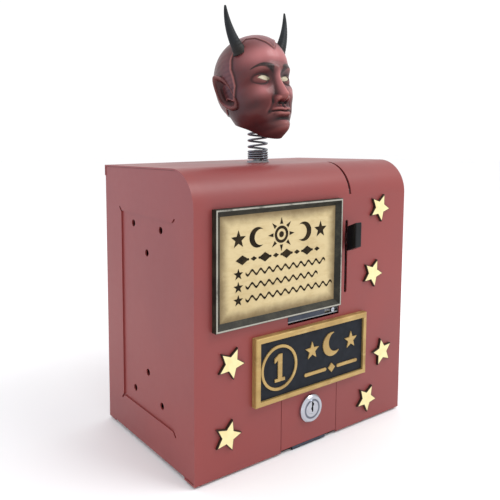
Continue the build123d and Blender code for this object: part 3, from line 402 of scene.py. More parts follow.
def sewn(mesh, gap):
    """Merges points nearer than a gap, so that seams close, and turns every face outwards."""
    made = bmesh.new()
    made.from_mesh(mesh)
    bmesh.ops.remove_doubles(made, verts=made.verts, dist=gap)
    bmesh.ops.recalc_face_normals(made, faces=made.faces)
    made.to_mesh(mesh)
    made.free()
    return mesh


def put_mark(mesh, name, values):
    """Stores a number for each point, for a finish to read."""
    stored = mesh.attributes.new(name, "FLOAT", "POINT")
    stored.data.foreach_set("value", np.asarray(values, dtype=np.float32))


def bell(x, middle, width):
    """1 at the middle, fading to both sides."""
    return np.exp(-(((x - middle) / width) ** 2))


def rise(x, low, high):
    """0 below low, 1 above high and a smooth rise between them."""
    t = np.clip((x - low) / (high - low), 0.0, 1.0)
    return t * t * (3.0 - 2.0 * t)


# ---------------------------------------------------------------- node groups that make meshes
class Tree:
    """A geometry node group with named inputs, run once to give a plain mesh."""

    def __init__(self, name, **inputs):
        self.group = bpy.data.node_groups.new(name, "GeometryNodeTree")
        self.inputs = {}
        for label, value in inputs.items():
            kind = "NodeSocketVector" if isinstance(value, tuple) else "NodeSocketFloat"
            kind = "NodeSocketInt" if isinstance(value, int) else kind
            kind = "NodeSocketObject" if isinstance(value, bpy.types.Object) else kind
            kind = "NodeSocketMaterial" if isinstance(value, bpy.types.Material) else kind
            label = label.replace("_", " ")
            made = self.group.interface.new_socket(label, in_out="INPUT", socket_type=kind)
            self.inputs[label] = (made.identifier, value)
        self.group.interface.new_socket("Geometry", in_out="OUTPUT", socket_type="NodeSocketGeometry")
        self.start = self.group.nodes.new("NodeGroupInput")
        self.end = self.group.nodes.new("NodeGroupOutput")

    def given(self, label):
        return self.start.outputs[label]

    def node(self, kind, settings=None, output=None, **sockets):
        """Adds a node by its settings and its sockets' values or links, and returns one output."""
        made = self.group.nodes.new(kind)
        for name, value in (settings or {}).items():
            setattr(made, name, value)
        for name, value in sockets.items():
            socket = made.inputs[name.replace("_", " ")]
            if isinstance(value, bpy.types.NodeSocket):
                self.group.links.new(value, socket)
            else:
                socket.default_value = value
        return made.outputs[output] if output else next(s for s in made.outputs if s.enabled)

    def run(self, name, geometry):
        """Realizes the geometry in its material and returns it as a plain mesh."""
        realized = self.node("GeometryNodeRealizeInstances", Geometry=geometry)
        finished = self.node("GeometryNodeSetMaterial", Geometry=realized, Material=self.given("Material"))
        self.group.links.new(finished, self.end.inputs[0])
        holder = shown(name + "_holder", bpy.data.meshes.new(name + "_holder"))
        modifier = holder.modifiers.new("tree", "NODES")
        modifier.node_group = self.group
        for identifier, value in self.inputs.values():
            modifier[identifier] = value
        graph = bpy.context.evaluated_depsgraph_get()
        mesh = bpy.data.meshes.new_from_object(holder.evaluated_get(graph))
        mesh.name = name
        holder.modifiers.clear()
        bpy.data.objects.remove(holder)
        return mesh


# ---------------------------------------------------------------- places read from the frame
NOD_HEIGHT = 16.95 * MM  # the nod's axis above the case's top, along the spring
HEAD_HEIGHT = 24.0 * MM  # the head's origin above the case's top
HEAD_TILT = radians(16.0)

joints = {joint["name"]: joint for joint in frame["joints"]}
nod_at = Vector(joints["head_nod"]["pos_m"])
sway_at = Vector(joints["head_sway"]["pos_m"])
spring_axis = (sway_at - nod_at).normalized()
run_height = (sway_at - nod_at).length  # each of the spring's three open runs
deck_at = nod_at - spring_axis * NOD_HEIGHT
deck_tilt = atan2(spring_axis.y, spring_axis.z)
head_at = deck_at + spring_axis * HEAD_HEIGHT
head_tilt = HEAD_TILT + deck_tilt
head_back = Vector((0.0, cos(head_tilt), -sin(head_tilt)))
head_up = Vector((0.0, sin(head_tilt), cos(head_tilt)))


def on_head(points):
    """Points in the head's own millimetres, turned and moved to their place."""
    across, back, up = np.asarray(points, dtype=float).T * MM
    placed = np.outer(across, (1.0, 0.0, 0.0)) + np.outer(back, head_back) + np.outer(up, head_up)
    return placed + np.array(head_at)


# ---------------------------------------------------------------- head: shape in millimetres
# x to the figure's left, y to its back, z up from the head's origin
CROWN = 84.0
WAIST = 50.0  # height of the widest section
MIDDLE = -8.0  # y of the sections' widest place
NECK_RIM = (-11.0, 15.5)  # height of the neck's rim in front and behind
SOCKET_END = 12.0  # height of the spring's hollow
EYE = (11.3, 37.8)  # middle of an eye, across and up
EYE_HALF = 5.7  # half the opening between the eye's corners
EYEBALL = 8.2
EYEBALL_Y = -27.7
LID = 0.9  # thickness of a lid over the eyeball
LID_BLEND = 0.5


def curve_through(z, *points):
    """A smooth curve through a few points, height first."""
    heights, values = (np.array(k, dtype=float) for k in zip(*points))
    slopes = np.gradient(values, heights)
    z = np.clip(z, heights[0], heights[-1])
    k = np.clip(np.searchsorted(heights, z, side="right") - 1, 0, len(heights) - 2)
    span = heights[k + 1] - heights[k]
    t = (z - heights[k]) / span
    return (
        values[k] * (1 + 2 * t) * (1 - t) ** 2
        + slopes[k] * span * t * (1 - t) ** 2
        + values[k + 1] * t * t * (3 - 2 * t)
        + slopes[k + 1] * span * t * t * (t - 1)
    )


def spot(across, up, at, size):
    """A soft round rise at a place on the face, the same on both sides."""
    return np.exp(-(((across - at[0]) / size[0]) ** 2) - (((up - at[1]) / size[1]) ** 2))


# the plain head's sizes by height: half its width, and its depth before and behind the middle
HALF_WIDTHS = (
    (-12, 8.5), (-8, 10.5), (-4, 13), (1, 16.5), (6, 20),
    (12, 22.8), (20, 25), (30, 26.8), (40, 27.7), (50, 28),
)
DEPTHS_AHEAD = (
    (-12, 13), (-9, 22), (-6.5, 28), (-3, 30.4), (3, 30),
    (10, 30.4), (20, 31.2), (34, 31.6), (46, 34.6), (54, 35.4),
)
DEPTHS_BEHIND = ((-12, 8), (0, 16.5), (8, 20.5), (14, 23), (24, 30.5), (36, 37), (50, 40.4))
# the nose's ridge by height: how far it stands out and half its width
NOSE_RIDGE = (
    (13.5, 0), (15.4, 0.8), (17.6, 6.8), (20.3, 9.6), (24, 8.3),
    (30, 5.8), (36, 3.7), (41, 2.3), (46, 0.6), (50, 0),
)
NOSE_WIDTHS = ((14, 3.6), (20, 4.0), (26, 3.1), (34, 2.5), (42, 3.0), (50, 4.0))


def skull(turn, z):
    """Points of the plain head form, by turn from the front and height, and how far each faces ahead."""
    dome = (1.0 - np.clip((z - WAIST) / (CROWN - WAIST), 0.0, 1.0) ** 2.4) ** 0.45
    half = curve_through(z, *HALF_WIDTHS)
    ahead = curve_through(z, *DEPTHS_AHEAD)
    behind = curve_through(z, *DEPTHS_BEHIND)
    square = 2.0 + 0.25 * bell(z, 28.0, 26.0)
    s, c = np.sin(turn), np.cos(turn)
    depth = np.where(c > 0, ahead, behind)
    reach = (np.abs(s / half) ** square + np.abs(c / depth) ** square) ** (-1.0 / square)
    x = reach * s * dome
    y = MIDDLE - reach * c * dome
    out_x, out_y = s / half * depth, -c
    length = np.hypot(out_x, out_y)
    return x, y, out_x / length, out_y / length


def hair_edge(turn, z):
    """How far a place is inside the combed-back hair, in millimetres, negative on bare skin."""
    degrees = np.abs(np.degrees(turn))
    over = z - np.interp(degrees, (0, 9, 22, 40, 62, 180), (61.5, 68.5, 74, 75.5, 68, 68))
    temple = (degrees - np.interp(z, (22, 30, 37, 45, 52, 60, 68), (88, 79, 72, 72, 74, 71, 62))) * 0.45
    foot = z - np.interp(degrees, (55, 72, 100, 125, 180), (20, 22, 30, 20, 22))
    return np.minimum(np.maximum(over, temple), foot)


def face_relief(across, z):
    """Height of the features over the plain form, on the front."""
    sockets = -4.4 * spot(across, z, EYE, (8.2, 5.6))
    brow_ends = (1 - rise(across, 15, 24)) * (0.55 + 0.45 * rise(across, 1, 7))
    brows = 2.2 * bell(z, 45.0 + 0.04 * across, 3.4) * brow_ends
    nose_share = across / curve_through(z, *NOSE_WIDTHS)
    nose = curve_through(z, *NOSE_RIDGE) * np.exp(-np.abs(nose_share) ** 2.3)
    wings = 3.7 * spot(across, z, (5.3, 18.6), (2.1, 2.5)) - 0.8 * spot(across, z, (8.2, 18.4), (1.3, 2.6))
    nostrils = -2.4 * spot(across, z, (2.8, 15.9), (1.4, 1.1))
    cheeks = 2.3 * spot(across, z, (15.5, 22.5), (7.5, 7.5))
    cheekbones = 1.7 * spot(across, z, (20.5, 31.0), (5.5, 4.5))
    fold_at = 7.6 + (18.0 - z) * 0.42
    folds = -0.55 * bell(across, fold_at, 1.3) * rise(z, 6, 10) * (1 - rise(z, 16, 20))
    muzzle = 2.0 * spot(across, z, (0, 9.5), (10.5, 6.5))
    lip_line = 8.4 + 0.011 * across**2 - 0.35 * bell(across, 0, 2.5)
    bow = lip_line + 1.9 - 0.45 * bell(across, 0, 1.3) - 0.045 * across
    upper_lip = 1.7 * bell(z, bow, 1.5) * (1 - rise(across, 5.5, 10.0))
    lower_lip = 2.1 * bell(z, lip_line - 2.2, 1.9) * (1 - rise(across, 4.5, 9.0))
    parting = -1.7 * bell(z, lip_line, 0.65) * (1 - rise(across, 8.8, 10.6))
    corners = -0.9 * spot(across, z, (10.8, 9.4), (1.6, 1.8))
    under_lip = -1.7 * spot(across, z, (0, 2.6), (7.0, 2.0))
    chin = 2.2 * spot(across, z, (0, -3.2), (6.5, 4.4))
    lip_groove = -0.55 * bell(across, 0, 1.1) * bell(z, 13.0, 2.0)
    lip_groove += 0.3 * bell(across, 2.1, 0.8) * bell(z, 12.6, 1.9)
    temples = -1.3 * spot(across, z, (26.0, 47.0), (5.0, 8.0))
    forehead = 0.8 * spot(across, z, (10.0, 58.0), (8.5, 7.0))
    jaw = 1.0 * spot(across, z, (21.0, 10.0), (5.0, 5.0)) - 1.2 * spot(across, z, (19.5, 18.0), (4.5, 5.0))
    parts = (
        sockets, brows, nose, wings, nostrils, cheeks, cheekbones, folds, muzzle, upper_lip, lower_lip,
        parting, corners, under_lip, chin, lip_groove, temples, forehead, jaw,
    )
    return sum(parts)


def eye_opening(across, z):
    """Positive inside the almond of the eye, in millimetres from its lids."""
    e = np.clip((across - EYE[0]) / EYE_HALF, -1.0, 1.0)
    slant = EYE[1] + 0.75 * e
    upper = slant + 2.5 * (1 - e * e) ** 0.75
    lower = slant - 1.8 * (1 - e * e) ** 0.9
    inside = np.minimum(upper - z, z - lower)
    return np.where(np.abs(across - EYE[0]) < EYE_HALF, inside, -3.0)


def with_eyes(x, y, z):
    """Lays the lids and the eyeballs into the sockets."""
    across = np.abs(x)
    off = (across - EYE[0]) ** 2 + (z - EYE[1]) ** 2
    ball = EYEBALL_Y - np.sqrt(np.clip(EYEBALL**2 - off, 0.0, None))
    lid = EYEBALL_Y - np.sqrt(np.clip((EYEBALL + LID) ** 2 - off, 0.0, None))
    near = off < (EYEBALL + LID - 0.3) ** 2
    share = np.clip(0.5 + 0.5 * (y - lid) / LID_BLEND, 0.0, 1.0)
    joined = y * (1 - share) + lid * share - LID_BLEND * share * (1 - share)
    open_share = rise(eye_opening(across, z), -0.15, 0.3)
    return np.where(near & (y < -10), joined * (1 - open_share) + ball * open_share, y)


def eyebrow(across, z):
    """1 on a painted eyebrow: a calm arch, tapered to its outer end."""
    along = (across - 4.0) / 17.0
    line = 43.6 + 4.6 * np.sin(np.clip(along, 0, 1) * pi * 0.78) - 0.4 * along
    thick = 3.3 * np.clip(1.15 - along, 0.05, 1.0)
    ends = rise(along, -0.05, 0.08) * (1 - rise(along, 0.95, 1.05))
    return (1 - rise(np.abs(z - line) / thick, 0.65, 1.15)) * ends


def averaged(field, times):
    """A field on the head's grid, evened out over its neighbours."""
    for _ in range(times):
        above = np.vstack([field[:1], field[:-1]])
        below = np.vstack([field[1:], field[-1:]])
        field = (field * 2 + np.roll(field, 1, axis=1) + np.roll(field, -1, axis=1) + above + below) / 6
    return field


def lit_places(across, z):
    """1 where a painted highlight lightens the paint: forehead, temples, nose, cheekbones and chin."""
    nose = bell(across, 0, 3.0) * rise(z, 18, 22) * (1 - rise(z, 38, 46))
    forehead = spot(across, z, (0, 58), (15, 9)) + 0.5 * spot(across, z, (17, 56), (8, 8))
    lower = 0.75 * spot(across, z, (15, 27), (6, 5)) + 0.5 * spot(across, z, (0, -3), (6, 4))
    return np.clip(forehead + nose + lower, 0, 1)


def dim_places(across, z):
    """1 where painted shade darkens the paint: round the eyes and mouth, under the cheeks and on the neck.
    """
    eyes = 0.75 * spot(across, z, (11, 38), (9.5, 6.0))
    mouth = 0.4 * bell(z, 8.6, 3.4) * (1 - rise(across, 8, 13))
    return np.clip(eyes + mouth + 0.5 * spot(across, z, (20, 16), (7, 8)) + 0.65 * rise(-z, -16, 2), 0, 1)


HEAD_ROWS = 262
HEAD_COLUMNS = 300


def head_grid():
    """Turn and height of each point of the head, closer together on the face."""
    even = np.linspace(-0.5, 0.5, HEAD_COLUMNS, endpoint=False)
    turn = tau * even - 0.45 * np.sin(tau * even)
    levels = np.linspace(0.0, 1.0, 4000)
    spacing = np.where(levels < 0.74, 1.0, np.sqrt(np.clip((1 - levels) / 0.26, 1e-6, 1)))
    climbed = np.concatenate([[0.0], np.cumsum(1.0 / spacing[:-1])])
    share = np.interp(np.linspace(0, 1, HEAD_ROWS), climbed / climbed[-1], levels)
    rim = (NECK_RIM[0] + NECK_RIM[1]) / 2 - (NECK_RIM[1] - NECK_RIM[0]) / 2 * np.cos(turn)
    z = rim[None, :] + (CROWN - rim)[None, :] * share[:, None]
    return np.broadcast_to(turn, z.shape), z


def head_surface():
    """The sculpted head: its points by rows from the neck's rim to the crown, and its painted areas."""
    turn, z = head_grid()
    x, y, out_x, out_y = skull(turn, z)
    across = np.abs(x)
    front = rise(-out_y, 0.12, 0.6)
    relief = face_relief(across, z) * front
    hair = hair_edge(turn, z)
    fringe = rise(hair, -0.5, 0.7)
    strands = 0.035 * np.sin(46.0 * np.arctan2(x, z - 42.0) + 1.6 * np.sin(y * 0.16))
    waves = 0.10 * np.sin(y * 0.21 + x * 0.17)
    relief += fringe * (0.95 + strands + waves) + 0.35 * bell(hair, 0.7, 0.9)
    nape = bell(z, 22.0, 5.0) * rise(out_y, 0.3, 0.8)
    relief -= 0.8 * nape
    x = x + relief * out_x * (1 - 0.7 * front)
    y = y + relief * np.where(front > 0, out_y * (1 - front) - front, out_y)
    y = with_eyes(x, y, z)
    paint = {
        "hair": fringe,
        "eye": rise(eye_opening(across, z), 0.0, 0.35) * front,
        "lash": rise(eye_opening(across, z), -1.3, -0.2) * front,
        "brow": eyebrow(across, z) * front,
        "painted_highlight": lit_places(across, z) * front,
        "shade": dim_places(across, z),
    }
    return np.stack([x, y, z], axis=-1), paint


def hollows(points, times, depth):
    """How far each point lies under its surroundings, in share of depth, negative on ridges."""
    along = np.roll(points, -1, axis=1) - np.roll(points, 1, axis=1)
    upward = np.gradient(points, axis=0)
    out = np.cross(along, upward)
    out /= np.linalg.norm(out, axis=-1, keepdims=True) + 1e-12
    sunk = ((averaged(points, times) - points) * out).sum(axis=-1)
    return sunk / depth


def head_material():
    """Hand-painted resin: dark red, with painted highlights on its rises, face and crown and dark brown
    painted shade in its hollows.
    """
    f = Finish("head_red")
    cloud = f.noise(42.0, 4.0, 0.6)
    speck = f.noise(330.0, 4.0, 0.65)
    hair, eye, lash, brow = (f.mark(name) for name in ("hair", "eye", "lash", "brow"))
    painted_highlight, shade, hollow, ridge = (f.mark(name) for name in ("painted_highlight", "shade", "hollow", "ridge"))
    tone = f.mix(cloud.step(0.38, 0.66), colour(84, 26, 28), colour(46, 16, 20))
    # painted highlight: forehead, nose, cheekbones and chin lightened towards pink
    face_lit = f.mix((painted_highlight * 0.95 + cloud * 0.4 - 0.16).clipped(), tone, colour(178, 112, 114))
    # painted shade: round the eyes and mouth, under the cheeks and on the neck
    dark = f.mix((shade * 0.75 * (speck * 0.3 + 0.85)).clipped(), face_lit, colour(36, 11, 14))
    hair_tone = f.mix(cloud.step(0.42, 0.62), colour(58, 24, 28), colour(92, 46, 48))
    combed = f.mix(hair * 0.8, dark, hair_tone)
    # painted highlight: upward-facing hair and crown lightened to a mauve sheen
    crown_light = f.facing()[2].step(0.55, 0.98) * (cloud * 0.5 + 0.35)
    crown_lit = f.mix(crown_light.clipped(), combed, colour(158, 108, 114))
    # painted highlight: pink on the ridges found from the surface's shape
    ridge_lit = f.mix((ridge * 0.6).clipped(), crown_lit, colour(176, 108, 102))
    # painted shade: dark brown in the hollows found from the surface's shape
    hollow_shaded = f.mix((hollow * (speck * 0.4 + 0.8)).clipped(), ridge_lit, colour(26, 9, 10))
    rimmed = f.mix((lash * 0.85).clipped(), hollow_shaded, colour(24, 10, 10))
    browed = f.mix((brow * (speck * 0.6 + 0.6)).clipped(), rimmed, colour(20, 11, 11))
    ivory = f.mix(cloud.step(0.4, 0.7) * 0.5, colour(196, 186, 160), colour(160, 146, 118))
    return f.set(
        Base_Color=f.mix(eye, browed, ivory),
        Roughness=(speck * 0.16 + hollow * 0.2 + 0.34).clipped(),
        Coat_Weight=0.10,
        Coat_Roughness=0.16,
        Specular_IOR_Level=0.28,
        Normal=f.bump(speck, 0.00010, 0.5),
    )


EAR_AT = (24.8, -4.0, 32.8)  # middle of an ear's foot
EAR_HALF = 7.9  # half an ear's width
EAR_ABOVE = 23.0
EAR_BELOW = 15.5
EAR_HINGE = 9.0  # how far ahead of its middle an ear swings out
EAR_SLOPE = radians(24.0)  # swing out from the side of the head
EAR_LEAN = radians(19.0)  # lean to the rear


def ear_shell(side):
    """A pointed ear as a closed shell, with a rolled rim round a bowl, in the head's millimetres."""
    around, rings = 96, 26
    angle = np.linspace(0, tau, around, endpoint=False)
    # outline in the ear's plane: u to its rear, v up
    tip = np.clip(np.sin(angle), 0, 1)
    lobe = np.clip(-np.sin(angle), 0, 1)
    u = EAR_HALF * np.cos(angle) * (1 - 0.22 * tip**2) + 1.6 * tip**2.2 - 1.6 * lobe**2
    v = np.where(np.sin(angle) > 0, EAR_ABOVE, EAR_BELOW) * np.sin(angle)
    share = np.linspace(1.0, 0.0, rings)[:, None]
    rim = 3.0 * bell(share, 0.86, 0.13)
    inner_fold = 1.0 * bell(share, 0.52, 0.10) * np.clip(np.cos(angle - 0.7), 0, 1)
    bowl = -2.6 * (1 - rise(share, 0.15, 0.72))
    front_height = rim + inner_fold + bowl
    back_height = -3.6 * np.sqrt(np.clip(1 - share**2, 0, 1)) - 0.6
    front = np.stack([u * share, v * share, front_height * rise(1.02 - share, 0.0, 0.06)], axis=-1)
    back = np.stack([u * share, v * share, np.broadcast_to(back_height, front_height.shape)], axis=-1)[1:-1]
    flat = np.concatenate([back[::-1], front], axis=0)
    lean_u = flat[..., 0] * cos(EAR_LEAN) + flat[..., 1] * sin(EAR_LEAN)
    lean_v = -flat[..., 0] * sin(EAR_LEAN) + flat[..., 1] * cos(EAR_LEAN)
    out = flat[..., 2] * cos(EAR_SLOPE) + (lean_u + EAR_HINGE) * sin(EAR_SLOPE)
    back_y = lean_u * cos(EAR_SLOPE) - flat[..., 2] * sin(EAR_SLOPE)
    points = np.stack([side * (EAR_AT[0] + out), EAR_AT[1] + back_y, EAR_AT[2] + lean_v], axis=-1)
    return points, np.concatenate([np.zeros((rings - 2, around)), (-front_height + 0.6) * 0.30])


def build_head():
    """The head casting with its ears as one piece."""
    points, paint = head_surface()
    sunk = hollows(points, 14, 0.34)
    broad = hollows(points, 60, 1.1)
    # hollow: painted shade in the sunken places
    paint["hollow"] = np.clip(sunk * 0.9 + np.clip(broad, 0, 1) * 0.55, 0, 1) * (1 - paint["eye"])
    # ridge: painted highlight on the raised places
    paint["ridge"] = np.clip(-sunk * 0.8, 0, 1) * (1 - paint["eye"])
    # the neck's rim turns in to a hollow that takes the spring
    rim = points[0]
    centre = np.array([0.0, -4.0, 1.0])
    inner = [centre + (rim - centre) * share for share in (0.80, 0.86, 0.93)]
    end = inner[0] * [1, 1, 0] + [0, 0, SOCKET_END]
    inside = np.stack([end, *inner])
    whole = np.concatenate([inside, points])
    flat = whole.reshape(-1, 3)
    faces = [tuple(q) for q in sheet_faces(len(whole), HEAD_COLUMNS, True)]
    faces.append(tuple(range(HEAD_COLUMNS))[::-1])
    bare = np.zeros(inside.shape[:2])
    marks = {name: np.concatenate([bare, value]).ravel() for name, value in paint.items()}
    # painted shade fills the spring's hollow inside the neck
    marks["shade"][: bare.size] = 1.0
    for side in (-1, 1):
        ear, ear_hollow = ear_shell(side)
        first = len(flat)
        rows, ring = ear.shape[:2]
        flat = np.concatenate([flat, ear.reshape(-1, 3)])
        faces += [tuple(q) for q in sheet_faces(rows, ring, True) + first]
        faces.append(tuple(first + k for k in range(ring)))
        ear_paint = {
            # hollow: painted shade in the ear's bowl
            "hollow": np.clip(ear_hollow, 0, 1),
            # ridge: painted highlight on the ear's rim
            "ridge": np.clip(-ear_hollow * 0.6, 0, 1),
            # painted shade darkens the ears a little all over
            "shade": np.full((rows, ring), 0.25),
        }
        for name in marks:
            value = ear_paint.get(name, np.zeros((rows, ring)))
            marks[name] = np.concatenate([marks[name], value.ravel()])
    mesh = mesh_of("head_casting", on_head(flat), faces)
    for name, value in marks.items():
        put_mark(mesh, name, value)
    return shown("head_casting", sewn(mesh, 0.02 * MM), head_material())


head_casting = build_head()
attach(head_casting, "head")
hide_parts("head")


# ---------------------------------------------------------------- horns
HORN_ROOT = (20.5, -1.5, 69.0)  # from the head's origin, in the world's directions
HORN_LEAN = radians(34.0)
HORN_LENGTH = 41.0
HORN_RADIUS = 5.7
HORN_TIP = 0.75


def horn_material():
    """Black-grey resin, dusty in patches and brownish at the root."""
    f = Finish("horn_black")
    dust = f.noise(160.0, 4.0, 0.65)
    grain = f.noise(90.0, 5.0, 0.7, f.stretched((1.6, 1.6, 0.3)))
    up = f.mark("climb")
    tone = f.mix(grain.step(0.35, 0.7), colour(17, 20, 22), colour(36, 40, 44))
    root = f.mix((1.0 - up.step(0.03, 0.34)) * 0.8, tone, colour(30, 24, 18))
    return f.set(
        Base_Color=f.mix(dust.step(0.55, 0.75) * 0.3, root, colour(60, 66, 71)),
        Roughness=(dust * 0.25 + 0.36).clipped(),
        Specular_IOR_Level=0.22,
        Normal=f.bump(grain, 0.00018, 0.7),
    )


def build_horn(side, material):
    """A tapered horn that leans outwards from its flared root and curls upright."""
    rows, ring = 120, 56
    climb = np.linspace(0.0, 1.0, rows) ** 0.9
    turned = HORN_LEAN * climb
    bend = HORN_LENGTH / HORN_LEAN
    slope = np.array([side * sin(HORN_LEAN), 0.16, cos(HORN_LEAN)])
    slope /= np.linalg.norm(slope)
    inward = np.array([-side * cos(HORN_LEAN), 0.0, sin(HORN_LEAN)])
    across = np.array([0.0, 1.0, 0.0])
    around = np.linspace(0, tau, ring, endpoint=False)
    taper = HORN_RADIUS * (1 - climb) ** 0.86 + HORN_TIP * climb
    flare = 1.3 * np.exp(-((climb / 0.045) ** 2)) + 0.35 * np.exp(-(((climb - 0.09) / 0.03) ** 2))
    rings = 0.09 * np.sin(tau * climb * 17 + 1.2 * np.sin(tau * climb * 2.3)) * (1 - climb) ** 1.5
    blunt = np.sqrt(np.clip(1 - np.clip((climb - 0.985) / 0.015, 0, 1) ** 2, 0, 1))
    radius = (taper + flare + rings) * blunt
    spine = np.outer(bend * np.sin(turned), slope) + np.outer(bend * (1 - np.cos(turned)), inward)
    side_way = np.outer(np.cos(turned), inward) - np.outer(np.sin(turned), slope)
    ribbed = 1 + 0.022 * np.sin(5 * around[None, :] + 2.4 * climb[:, None]) * (1 - climb[:, None])
    reach = radius[:, None] * ribbed
    points = (
        spine[:, None, :]
        + (reach * np.cos(around))[..., None] * side_way[:, None, :]
        + (0.9 * reach * np.sin(around))[..., None] * across
    )
    start = np.array([side * HORN_ROOT[0], *HORN_ROOT[1:]])
    flat = (points.reshape(-1, 3) + start) * MM + np.array(deck_at) + np.array((0.0, 0.0, HEAD_HEIGHT))
    faces = [tuple(q) for q in sheet_faces(rows, ring, True)]
    faces.append(tuple(range(ring)))
    name = "left_horn_curl" if side < 0 else "right_horn_curl"
    mesh = mesh_of(name, flat, faces)
    put_mark(mesh, "climb", np.repeat(climb, ring))
    return shown(name, sewn(mesh, 0.01 * MM), material)


horn_black = horn_material()
for horn_side, horn_node in ((-1, "left_horn"), (1, "right_horn")):
    horn = build_horn(horn_side, horn_black)
    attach(horn, "head")
    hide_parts(horn_node)


# ---------------------------------------------------------------- springs
WIRE = 1.8 * MM
COIL = 8.1 * MM
CLOSED_TURNS = 4.0
CLOSED_PITCH = 1.95 * MM
RUN_TURNS = 1.25


def wound(name, low, turns, height, start_turn):
    """A coil of round wire up the spring's axis from a place on it, starting start_turn turns round."""
    aim = spring_axis.to_track_quat("Z", "X").to_euler()
    tree = Tree(
        name, Turns=turns, Height=height, Coil_radius=COIL, Wire_radius=WIRE / 2, Start=start_turn * tau,
        Place=tuple(low), Aim=tuple(aim), Material=spring_steel,
    )
    spiral = tree.node(
        "GeometryNodeCurveSpiral",
        Resolution=72,
        Rotations=tree.given("Turns"),
        Start_Radius=tree.given("Coil radius"),
        End_Radius=tree.given("Coil radius"),
        Height=tree.given("Height"),
        Reverse=True,
    )
    start = tree.node("ShaderNodeCombineXYZ", Z=tree.given("Start"))
    turned = tree.node("GeometryNodeTransform", Geometry=spiral, Rotation=start)
    thickness = tree.given("Wire radius")
    round_wire = tree.node("GeometryNodeCurvePrimitiveCircle", Resolution=18, Radius=thickness)
    tube = tree.node("GeometryNodeCurveToMesh", Curve=turned, Profile_Curve=round_wire, Fill_Caps=True)
    smooth = tree.node("GeometryNodeSetShadeSmooth", Geometry=tube)
    sockets = {"Translation": tree.given("Place"), "Rotation": tree.given("Aim")}
    aimed = tree.node("GeometryNodeTransform", Geometry=smooth, **sockets)
    return tree.run(name, aimed)


open_low = nod_at - spring_axis * run_height
closed_height = CLOSED_TURNS * CLOSED_PITCH
closed_low = open_low - spring_axis * closed_height
base_turns = shown("closed_turns", wound("closed_turns", closed_low, CLOSED_TURNS, closed_height, 0.0))
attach(base_turns, "case")
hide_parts("spring_base_turns")
run_nodes = ("spring_lower_turns", "spring_middle_turns", "spring_upper_turns")
for k, run_node in enumerate(run_nodes):
    low = open_low + spring_axis * (run_height * k)
    run_name = run_node.replace("turns", "run")
    run = shown(run_name, wound(run_name, low, RUN_TURNS, run_height, k * RUN_TURNS))
    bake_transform(run)
    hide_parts(run_node)


# ---------------------------------------------------------------- stars and painted marks
def spread(name, form, places, material):
    """A mesh of one form repeated: each place is a point, a turn as the front shows it and a size."""
    points = bpy.data.meshes.new(name + "_places")
    points.from_pydata([point for point, _, _ in places], [], [])
    aims = [(pi / 2, -turn, 0.0) for _, turn, _ in places]
    points.attributes.new("aim", "FLOAT_VECTOR", "POINT").data.foreach_set("vector", np.ravel(aims))
    put_mark(points, "size", [size for _, _, size in places])
    carrier = shown(name + "_places", points)
    sample = shown(name + "_form", form)
    tree = Tree(name, Form=sample, Places=carrier, Material=material)
    spots = tree.node("GeometryNodeObjectInfo", output="Geometry", Object=tree.given("Places"))
    one = tree.node("GeometryNodeObjectInfo", output="Geometry", Object=tree.given("Form"))
    aim = tree.node("GeometryNodeInputNamedAttribute", {"data_type": "FLOAT_VECTOR"}, Name="aim")
    size = tree.node("GeometryNodeInputNamedAttribute", {"data_type": "FLOAT"}, Name="size")
    placed = tree.node("GeometryNodeInstanceOnPoints", Points=spots, Instance=one, Rotation=aim, Scale=size)
    mesh = tree.run(name, placed)
    bpy.data.objects.remove(carrier)
    bpy.data.objects.remove(sample)
    return mesh


def star_outline(radius, waist, steps):
    """A five-pointed star's outline as x, y points, its first point towards +X."""
    corners = [(radius if k % 2 == 0 else waist, radians(36 * k)) for k in range(11)]
    outline = []
    for (near, start), (far, end) in zip(corners, corners[1:]):
        one = np.array([near * cos(start), near * sin(start)])
        two = np.array([far * cos(end), far * sin(end)])
        outline += [one + (two - one) * share / steps for share in range(steps)]
    return np.array(outline)


def star_turn(node):
    """A star's middle on the case's front and the turn of its first point, from its own corners."""
    low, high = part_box(node)
    corners = [v.co for v in nodes[node].data.vertices if v.co.y < (low[1] + high[1]) / 2]
    middle = sum((Vector((c.x, 0, c.z)) for c in corners), Vector()) / len(corners)
    far = max(corners, key=lambda c: hypot(c.x - middle.x, c.z - middle.z))
    return (middle.x, high[1], middle.z), atan2(far.z - middle.z, far.x - middle.x), 1.0


def star_form():
    """One star with bevelled edges, flat on its back."""
    depth = 2.4 * MM
    outline = star_outline(12.6 * MM, 6.0 * MM, 6)
    # share of the outline, share of the depth and darkness of the painted shade on the edge
    levels = (
        (1.0, 0.0, 1.0), (1.0, 0.72, 1.0), (0.985, 0.9, 0.95),
        (0.945, 1.0, 0.8), (0.86, 1.0, 0.2), (0.5, 1.0, 0.0),
    )
    count = len(outline)
    points = [np.column_stack([outline * scale, np.full(count, lift * depth)]) for scale, lift, _ in levels]
    faces = [tuple(q) for q in sheet_faces(len(levels), count, True)]
    faces.append(tuple(range(count))[::-1])
    faces.append(tuple(range((len(levels) - 1) * count, len(levels) * count)))
    mesh = mesh_of("star_form", np.concatenate(points), faces, smooth=False)
    put_mark(mesh, "edge", np.repeat([dark for _, _, dark in levels], count))
    return mesh


star_names = sorted(n for n in nodes if n.startswith("star_"))
star_places = [star_turn(name) for name in star_names]
stars = shown("enamel_stars", spread("enamel_stars", star_form(), star_places, star_enamel("cream")))
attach(stars, "case")
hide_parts(*star_names)

MARK_DEPTH = 0.18 * MM


